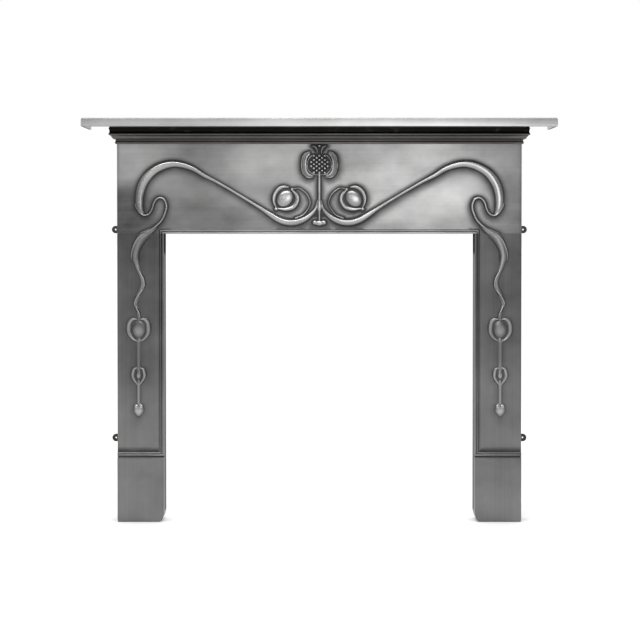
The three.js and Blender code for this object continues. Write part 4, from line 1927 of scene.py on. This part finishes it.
@dataclass
class Frieze:
    """The frieze casting: ornamented face, end returns, flanges, ribs and cornice.

    Attributes:
        finishes: The materials.
        leg_slot: The width of the slots for the leg bolts.
        shelf_slot: The width of the slots for the shelf bolts.
        ribs: The ribs' places.
        lug_level: The height of the lugs' middle.
        face_top: How far the face runs up behind the cornice.
        cornice_height: The cornice's height.
        projection: How far the cornice stands out.
        wall: The cornice's wall.
        outline: The cornice's lower part, as shares of projection and height.
        ogee: The ends and the pulls of the curve over it.
        ogee_steps: How many straight steps that curve has.
        crown: The cornice's upper part.
    """

    finishes: Finishes
    leg_slot: float = 11.0
    shelf_slot: float = 9.0
    ribs: tuple[float, ...] = (-360, -120, 120, 360)
    lug_level: float = 860.0
    face_top: float = 1114.0
    cornice_height: float = 45.85
    projection: float = 21.0
    wall: float = 6.5
    outline: tuple[tuple[float, float], ...] = (
        (0, 0), (0.13, 0.005), (0.19, 0.03), (0.19, 0.12), (0.17, 0.15), (0.12, 0.17),
        (0.12, 0.25), (0.15, 0.275),
    )
    ogee: tuple[tuple[float, float], ...] = ((0.22, 0.285), (0.62, 0.3), (0.55, 0.5), (0.95, 0.55))
    ogee_steps: int = 10
    crown: tuple[tuple[float, float], ...] = (
        (0.99, 0.565), (1, 0.59), (1, 0.645), (0.98, 0.665), (0.9, 0.69), (0.885, 0.75),
        (0.9, 0.84), (0.94, 0.92), (1, 1),
    )

    def build(self) -> None:
        """Models and dresses the whole casting."""
        self.face()
        self.box()
        self.cornice()

    def face(self) -> None:
        """Models the ornamented header."""
        right = leg_forms()
        forms = [*spray_forms(), *(form.mirrored() for form in right), *right]
        arris = [AT.half_width - gap for gap in ARRIS_STEPS]
        plate = FacePlate(
            name="frieze_face",
            low=(-AT.half_width, AT.frieze_bottom),
            high=(AT.half_width, self.face_top),
            relief=Relief(forms, sunk=[*EYES], patches=[*DARK_PATCHES]),
            cuts_x=[side.value * place for place in arris for side in Side],
            cuts_z=[AT.head + along for along, _ in MOULDING[1:]],
        ).build()
        Bench.dress(plate, self.finishes.header, self.finishes.casting)
        Bench.paint(plate, 1, lambda centres, normals: normals[:, 1] > 0.9)
        declare(plate, "polished_iron", "frieze")

    def box(self) -> None:
        """Models the returns, both flanges, the ribs and the upper lugs."""
        front, back = AT.behind_face, AT.wall_y
        inner = AT.half_width - AT.wall
        bottom = Bench.block(
            "bottom_flange",
            (-inner, front, AT.frieze_bottom),
            (inner, back, AT.frieze_bottom + AT.flange),
        )
        for side in Side:
            for offset in LEG_BOLTS:
                x = side.value * AT.leg_centre + offset
                cutter = bolt_slot(x, AT.frieze_bottom - 5, AT.frieze_bottom + 14, self.leg_slot)
                Bench.combine(bottom, cutter, "DIFFERENCE")
        top = Bench.block(
            "top_flange",
            (-inner, front, AT.frieze_top - AT.flange),
            (inner, back, AT.frieze_top),
        )
        for x in SHELF_BOLTS:
            cutter = bolt_slot(x, AT.frieze_top - 14, AT.frieze_top + 5, self.shelf_slot)
            Bench.combine(top, cutter, "DIFFERENCE")
        parts = [bottom, top]
        for side in Side:
            one, other = sorted((side.value * inner, side.value * AT.half_width))
            low, high = (one, front, AT.frieze_bottom), (other, back, AT.frieze_top)
            parts.append(Bench.block("return", low, high))
        for x in self.ribs:
            parts.append(
                Bench.block(
                    "rib",
                    (x - AT.rib / 2, front, AT.frieze_bottom + 6),
                    (x + AT.rib / 2, front + AT.rib_depth, AT.cornice_z + 4),
                )
            )
        for part in parts:
            Bench.soften(part)
        ear = Lug().build("upper_lug", self.lug_level)
        parts += [ear, Bench.mirrored(ear, "upper_lug_left")]
        box = Bench.join("frieze_box", parts)
        Bench.dress(box, self.finishes.casting, self.finishes.leg)
        Bench.paint(box, 1, self._outside)
        declare(box, "polished_iron", "frieze")

    @staticmethod
    def _outside(centres: Array, normals: Array) -> Array:
        """Picks the end returns' outer faces and the soffit over the opening.

        Args:
            centres: Every face's centre.
            normals: Every face's normal.

        Returns:
            Whether each face is one of them.
        """
        ends = (np.abs(centres[:, 0]) > AT.half_width - 1) & (np.abs(normals[:, 0]) > 0.5)
        ends &= np.abs(centres[:, 0]) < AT.half_width + 1
        soffit = (normals[:, 2] < -0.5) & (centres[:, 2] < AT.frieze_bottom + 1)
        return ends | soffit

    def _steps(self) -> list[tuple[float, float]]:
        """Runs up the cornice's outline.

        Returns:
            Each corner's [projection, height].
        """
        curve = []
        for index in range(self.ogee_steps + 1):
            t = index / self.ogee_steps
            pulls = ((1 - t) ** 3, 3 * t * (1 - t) ** 2, 3 * t * t * (1 - t), t**3)
            curve.append(tuple(sum(map(math.prod, zip(pulls, axis))) for axis in zip(*self.ogee)))
        shares = [*self.outline, *curve, *self.crown]
        return [(out * self.projection, up * self.cornice_height) for out, up in shares]

    def cornice(self) -> None:
        """Models the cornice: a wall on three sides, drawn up through its outline."""
        reach = AT.wall_y - AT.face_y
        Bench.clear()
        bpy.ops.mesh.primitive_plane_add(
            size=1, location=(0, (AT.wall_y - reach / 2) * MM, AT.cornice_z * MM)
        )
        piece = bpy.context.object
        piece.scale = (2 * AT.half_width * MM, reach * MM, 1)
        piece.name = "cornice"
        piece.data.name = "cornice"
        Bench.settle(piece)
        self._open_back(piece)
        previous = (0.0, 0.0)
        for out, up in self._steps()[1:]:
            bpy.ops.mesh.extrude_region_move(
                TRANSFORM_OT_translate={"value": (0, 0, (up - previous[1]) * MM)}
            )
            bpy.ops.transform.resize(
                value=(
                    (AT.half_width + out) / (AT.half_width + previous[0]),
                    (reach + out) / (reach + previous[0]),
                    1,
                ),
                center_override=(0, AT.wall_y * MM, (AT.cornice_z + up) * MM),
            )
            previous = (out, up)
        Bench.face_outward()
        centres, normals = Bench.faces(piece)
        front = centres[:, 1] < AT.face_y
        if front.any() and normals[front, 1].mean() > 0:
            bpy.ops.object.mode_set(mode="EDIT")
            bpy.ops.mesh.flip_normals()
            bpy.ops.object.mode_set(mode="OBJECT")
        Bench.apply(piece, "SOLIDIFY", thickness=self.wall * MM, offset=-1, use_rim=True)
        Bench.soften(piece, width=0.35, segments=1, angle=55)
        Bench.dress(piece, self.finishes.cornice)
        declare(piece, "polished_iron", "frieze")

    @staticmethod
    def _open_back(piece: Solid) -> None:
        """Leaves only the plane's front and end edges, all selected, in edit mode.

        Args:
            piece: The plane.
        """
        Bench.edit_faces(piece, np.ones(len(piece.data.polygons)))
        bpy.ops.mesh.delete(type="ONLY_FACE")
        Bench.edit_edges(piece, lambda one, other: min(one.y, other.y) > AT.wall_y - 1)
        bpy.ops.mesh.delete(type="EDGE")
        bpy.ops.mesh.select_all(action="SELECT")


@dataclass
class Leg:
    """One leg casting: face with plinth, the channel behind it, and its lower lug.

    Attributes:
        finishes: The materials.
        rib_levels: The heights of the ribs' undersides.
        lug_level: The height of the lug's middle.
        bolt_hole: The bolt holes' diameter.
        core: Half the cored hole's width and depth.
        toe_steps: How many flats the toe's rounding has.
    """

    finishes: Finishes
    rib_levels: tuple[float, ...] = (412.33, 630.17)
    lug_level: float = 240.0
    bolt_hole: float = 11.0
    core: tuple[float, float] = (18.0, 20.0)
    toe_steps: int = 8

    def build(self) -> None:
        """Models the right leg and copies it to the left."""
        right = {"face": self.face(), "channel": self.channel()}
        for kind, piece in right.items():
            declare(Bench.mirrored(piece, f"left_leg_{kind}"), "polished_iron", "left_leg")
        for piece in right.values():
            declare(piece, "polished_iron", "right_leg")

    def face(self) -> Solid:
        """Models the ornamented front and the plinth.

        Returns:
            The dressed right-hand face.
        """
        beside = [AT.half_opening + along for along, _ in MOULDING[1:]]
        over = [AT.moulding_z + along for along, _ in MOULDING]
        plinth = [AT.plinth_top - gap for gap in PLINTH_STEPS]
        plate = LegPlate(
            name="right_leg_face",
            groove_dark=0.3,
            beside_dark=0.3,
            low=(AT.half_opening, 0.0),
            high=(AT.half_width, AT.leg_top),
            relief=Relief(
                leg_forms(),
                sunk=[Stroke(BAND_GROOVE, 2.0, slope=0.8)],
                halo_depth=0.3,
                seam_depth=0.4,
                flank_depth=0.75,
            ),
            cuts_x=[
                *beside,
                *(AT.half_width - gap for gap in ARRIS_STEPS),
                *(AT.half_opening + gap for gap in ARRIS_STEPS),
            ],
            cuts_z=[*over, *plinth, *ARRIS_STEPS, AT.plinth_top + PLINTH_STEP],
        ).build()
        Bench.dress(plate, self.finishes.leg, self.finishes.casting)
        Bench.paint(plate, 1, lambda centres, normals: normals[:, 1] > 0.9)
        return plate

    def channel(self) -> Solid:
        """Models the returns, flanges and ribs behind the face, and the lug.

        Returns:
            The dressed right-hand channel.
        """
        tube = Bench.block(
            "right_leg_channel",
            (AT.half_opening, AT.behind_face, 0.0),
            (AT.half_width, AT.wall_y, AT.leg_top),
        )
        _, normals = Bench.faces(tube)
        Bench.edit_faces(tube, np.abs(normals[:, 1]) > 0.5)
        bpy.ops.mesh.delete(type="ONLY_FACE")
        bpy.ops.object.mode_set(mode="OBJECT")
        self._round_toe(tube)
        Bench.apply(tube, "SOLIDIFY", thickness=AT.wall * MM, offset=-1, use_rim=True)
        tube = self._holes(tube)
        parts = [Bench.soften(tube)]
        for level in self.rib_levels:
            rib = Bench.block(
                "rib",
                (AT.half_opening + 6, AT.behind_face, level),
                (AT.half_width - 6, AT.behind_face + AT.rib_depth, level + AT.rib),
            )
            parts.append(Bench.soften(rib))
        parts.append(Lug().build("lower_lug", self.lug_level))
        channel = Bench.join("right_leg_channel", parts)
        Bench.dress(channel, self.finishes.casting, self.finishes.leg, self.finishes.inner)
        Bench.paint(channel, 1, self._outside)
        Bench.paint(channel, 2, self._beside_opening)
        return channel

    def _round_toe(self, tube: Solid) -> None:
        """Rounds the inner bottom edge into the tall toe.

        Args:
            tube: The channel's open tube.
        """
        width, height = TOE
        Bench.edit_edges(
            tube,
            lambda *ends: all(abs(end.x - AT.half_opening) < 1 and abs(end.z) < 1 for end in ends),
        )
        bpy.ops.mesh.bevel(
            offset=width * MM, segments=self.toe_steps, profile=0.5, clamp_overlap=False
        )
        bpy.ops.object.mode_set(mode="OBJECT")
        places = Bench.points(tube)
        low = places[:, 2] < width + 0.5
        places[low, 2] *= height / width
        Bench.move_points(tube, places)

    def _holes(self, tube: Solid) -> Solid:
        """Cuts the bolt holes and the cored hole in the top flange.

        Args:
            tube: The channel.

        Returns:
            The same channel.
        """
        middle = (AT.panel_y + AT.wall + AT.wall_y) / 2
        x, top = AT.leg_centre, AT.leg_top
        wide, deep = self.core
        low, high = (x - wide, middle - deep, top - 12), (x + wide, middle + deep, top + PAST)
        Bench.combine(tube, Bench.block("core", low, high), "DIFFERENCE")
        for offset in LEG_BOLTS:
            place = (x + offset, AT.bolt_y, top - AT.flange / 2)
            hole = Bench.rod("hole", place, self.bolt_hole, 3 * AT.flange)
            Bench.combine(tube, hole, "DIFFERENCE")
        return tube

    @staticmethod
    def _outside(centres: Array, normals: Array) -> Array:
        """Picks the outer return's outer face and the toe.

        Args:
            centres: Every face's centre.
            normals: Every face's normal.

        Returns:
            Whether each face is one of them.
        """
        outer = (centres[:, 0] > AT.half_width - 1) & (centres[:, 0] < AT.half_width + 1)
        outer &= normals[:, 0] > 0.5
        toe = (centres[:, 0] < AT.half_opening + 20) & (centres[:, 2] < 30)
        toe &= (normals[:, 0] < -0.1) & (normals[:, 2] < 0.1)
        return outer | toe

    @staticmethod
    def _beside_opening(centres: Array, normals: Array) -> Array:
        """Picks the return's face beside the opening, above the toe."""
        inner = (centres[:, 0] < AT.half_opening + 1) & (normals[:, 0] < -0.5)
        return inner & (centres[:, 2] > 30)


@dataclass
class Shelf:
    """The shelf casting: plate with a turned-down edge, seating rib and bosses.

    Attributes:
        finishes: The materials.
        half: Half its length.
        rim: The turned-down edge's wall.
        plate: The plate's thickness.
        seat_rib: The seating rib's width.
        seat_x: How far out the rib's ends stand.
        seat_y: Where its front stands.
        boss: A boss's diameter.
        tapping: The diameter of its hole.
        top_round: The rounding of the ends' top edges.
        low_round: The rounding of the ends' lower edges.
        front_round: The rounding of the front's edges.
        edge: The rounding of the rib's and the bosses' edges.
    """

    finishes: Finishes
    half: float = 686.0
    rim: float = 8.0
    plate: float = 7.0
    seat_rib: float = 8.0
    seat_x: float = 613.0
    seat_y: float = -13.5
    boss: float = 24.0
    tapping: float = 8.8
    top_round: float = 7.0
    low_round: float = 1.5
    front_round: float = 2.2
    edge: float = 0.8

    def build(self) -> None:
        """Models and dresses the shelf."""
        body = self._plate()
        underside = AT.top - self.plate
        rails = [
            ((-self.seat_x, self.seat_y), (self.seat_x, self.seat_y + self.seat_rib)),
            ((-self.seat_x, self.seat_y), (-self.seat_x + self.seat_rib, AT.wall_y - 2)),
            ((self.seat_x - self.seat_rib, self.seat_y), (self.seat_x, AT.wall_y - 2)),
        ]
        parts = [body]
        for low, high in rails:
            rail = Bench.block("rail", (*low, AT.shelf_bottom), (*high, underside + 1))
            parts.append(Bench.soften(rail, self.edge))
        for x in SHELF_BOLTS:
            parts.append(self._boss(x, underside))
        shelf = Bench.join("mantel_shelf", parts)
        Bench.dress(shelf, self.finishes.shelf, self.finishes.casting)
        Bench.paint(shelf, 1, self._underside)
        declare(shelf, "shelf_iron", "shelf")

    def _plate(self) -> Solid:
        """Models the plate with its rounded outer edges and hollow underside.

        Returns:
            The plate.
        """
        body = Bench.block(
            "plate", (-self.half, -AT.wall_y, AT.shelf_bottom), (self.half, AT.wall_y, AT.top)
        )
        self._round_edges(body)
        hollow = Bench.block(
            "hollow",
            (-self.half + self.rim, -AT.wall_y + self.rim, AT.shelf_bottom - PAST),
            (self.half - self.rim, AT.wall_y + PAST, AT.top - self.plate),
        )
        Bench.combine(body, hollow, "DIFFERENCE")
        return Bench.smooth(body, 35)

    def _round_edges(self, body: Solid) -> None:
        """Rounds the ends' top edges well, and the other outer edges a little.

        Args:
            body: The plain plate.
        """
        end, front = self.half - 0.5, 0.5 - AT.wall_y
        self._round(body, self.top_round, 1, lambda at: abs(at.x) > end and at.z > AT.top - 1)
        self._round(body, self.low_round, 1, lambda at: abs(at.x) > end and at.z < AT.top - 9)
        self._round(body, self.front_round, 0, lambda at: at.y < front)

    @staticmethod
    def _round(body: Solid, radius: float, along: int, wanted: Callable[[Vector], bool]) -> None:
        """Bevels some of the edges that follow one axis.

        Args:
            body: The plate.
            radius: The rounding.
            along: The axis, 0 for X and 1 for Y.
            wanted: Says whether an end of an edge lies where the rounding is wanted.
        """

        def straight(one: Vector, other: Vector) -> bool:
            """Picks an edge by its way and by both its ends."""
            run = other - one
            return abs(run[along]) > 0.9 * run.length and wanted(one) and wanted(other)

        Bench.edit_edges(body, straight)
        bpy.ops.mesh.bevel(offset=radius * MM, segments=5, profile=0.5)
        bpy.ops.object.mode_set(mode="OBJECT")

    def _boss(self, x: float, underside: float) -> Solid:
        """Models one threaded boss under the plate.

        Args:
            x: Its place.
            underside: The height of the plate's underside.

        Returns:
            The boss with its hole.
        """
        height = underside + 1 - AT.shelf_bottom
        middle = AT.shelf_bottom + height / 2
        boss = Bench.rod("boss", (x, AT.bolt_y, middle), self.boss, height)
        hole = Bench.rod("tapping", (x, AT.bolt_y, AT.shelf_bottom + 6), self.tapping, 22)
        Bench.combine(boss, hole, "DIFFERENCE")
        return Bench.soften(boss, self.edge)

    def _underside(self, centres: Array, normals: Array) -> Array:
        """Picks what lies inside the turned-down edge, and the plate's back.

        Args:
            centres: Every face's centre.
            normals: Every face's normal.

        Returns:
            Whether each face is one of them.
        """
        inside = (np.abs(centres[:, 0]) < self.half - 9) & (centres[:, 1] > 7 - AT.wall_y)
        inside &= centres[:, 2] < AT.top - 2
        return inside | (normals[:, 1] > 0.9)


@dataclass
class Fasteners:
    """The bolts, nuts and washers, kept as the CAD frame has them.

    Attributes:
        finishes: The materials.
        words: What their nodes' names hold.
    """

    finishes: Finishes
    words: tuple[str, ...] = ("bolt", "nut", "washer")

    def dress(self) -> None:
        """Gives every fastener its blackened finish."""
        for name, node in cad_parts.items():
            if any(word in name for word in self.words):
                Bench.dress(node, self.finishes.steel)
                LOG.info("%s: blackened", name)


# ---- Studio ----


@dataclass
class Studio:
    """The floor, the soft light and the camera.

    Attributes:
        floor_radius: The floor's size in metres.
        floor_level: The floor's tone.
        camera_place: Where the camera stands, in metres.
        tilt: How many degrees it looks down.
        lens: Its focal length in millimetres.
        shift: How far the frame is moved, as a share of its width.
    """

    floor_radius: float = 60.0
    floor_level: float = 0.9
    camera_place: tuple[float, float, float] = (0.0, -4.773, 0.877)
    tilt: float = 1.13
    lens: float = 91.68
    shift: tuple[float, float] = (0.00098, -0.1)

    def build(self) -> None:
        """Sets everything up."""
        self.floor()
        self.world()
        self.lights()
        self.camera()
        bpy.context.scene.view_settings.view_transform = "Standard"

    def floor(self) -> None:
        """Lays a plain pale floor, wide enough for every view."""
        Bench.clear()
        bpy.ops.mesh.primitive_circle_add(
            vertices=96, radius=self.floor_radius, fill_type="NGON"
        )
        floor = bpy.context.object
        floor.name = "studio_floor"
        Bench.settle(floor)
        g = Coat("pale_floor")
        pale = (self.floor_level, self.floor_level, self.floor_level, 1)
        g.feed(Base_Color=pale, Roughness=0.9, Specular_IOR_Level=0.1)
        Bench.dress(floor, g.material)

    def world(self) -> None:
        """Lights the room: bright above and behind, quieter in front."""
        world = bpy.data.worlds.new("studio")
        bpy.context.scene.world = world
        world.use_nodes = True
        g = Graph(world.node_tree)
        where = g.node("ShaderNodeTexCoord", {}, {})
        way = g.node("ShaderNodeSeparateXYZ", {}, {0: where.outputs["Generated"]})
        # White behind the object, under half of that in front of it, and more from above.
        behind = g.spread(way.outputs["Y"], -0.9, 0.3, 0.42, 1, "SMOOTHSTEP")
        above = g.spread(way.outputs["Z"], 0.2, 0.8, 0, 0.5, "SMOOTHSTEP")
        glow = g.node(
            "ShaderNodeBackground", {}, {"Color": (1, 1, 1, 1), "Strength": behind + above}
        )
        g.node("ShaderNodeOutputWorld", {}, {"Surface": glow.outputs[0]})

    def lights(self) -> None:
        """Hangs the softboxes."""
        self._softbox("overhead", (-0.3, -1.5, 2.4), (0.0, 0.1, 0.9), (2.0, 0.7), 30)
        self._softbox("front_box", (0.31, -1.1, 1.0), (0.31, 0.0, 0.98), (0.56, 0.36), 1.8)
        self._softbox("left_fill", (-0.2, -1.1, 1.12), (-0.2, 0.0, 1.08), (0.24, 0.2), 0.35)
        self._softbox("corner_fill", (-0.62, -1.1, 1.13), (-0.62, 0.0, 1.1), (0.24, 0.1), 0.28)

    @staticmethod
    def _softbox(
        name: str,
        place: Sequence[float],
        aim: Sequence[float],
        size: tuple[float, float],
        power: float,
    ) -> None:
        """Hangs one rectangular light, unseen by the camera.

        Args:
            name: The light's name.
            place: Where it hangs, in metres.
            aim: The point it faces.
            size: Its width and height in metres.
            power: Its power in watts.
        """
        data = bpy.data.lights.new(name, "AREA")
        data.shape = "RECTANGLE"
        data.size, data.size_y = size
        data.energy = power
        light = bpy.data.objects.new(name, data)
        light.location = place
        toward = Vector(aim) - Vector(place)
        light.rotation_euler = toward.to_track_quat("-Z", "Y").to_euler()
        light.visible_camera = False
        bpy.context.scene.collection.objects.link(light)

    def camera(self) -> None:
        """Sets the camera at the photograph's viewing angle."""
        data = bpy.data.cameras.new("camera")
        data.lens = self.lens
        data.sensor_width = 36
        data.shift_x, data.shift_y = self.shift
        camera = bpy.data.objects.new("camera", data)
        camera.location = self.camera_place
        camera.rotation_euler = Euler((math.radians(90 - self.tilt), 0, 0))
        bpy.context.scene.collection.objects.link(camera)
        bpy.context.scene.camera = camera


def main() -> None:
    """Builds the surround in its studio."""
    logging.basicConfig(level=logging.INFO, format="%(name)s: %(message)s")
    finishes = Finishes.made()
    Frieze(finishes).build()
    Leg(finishes).build()
    Shelf(finishes).build()
    Fasteners(finishes).dress()
    Studio().build()


if __name__ == "__main__":
    main()
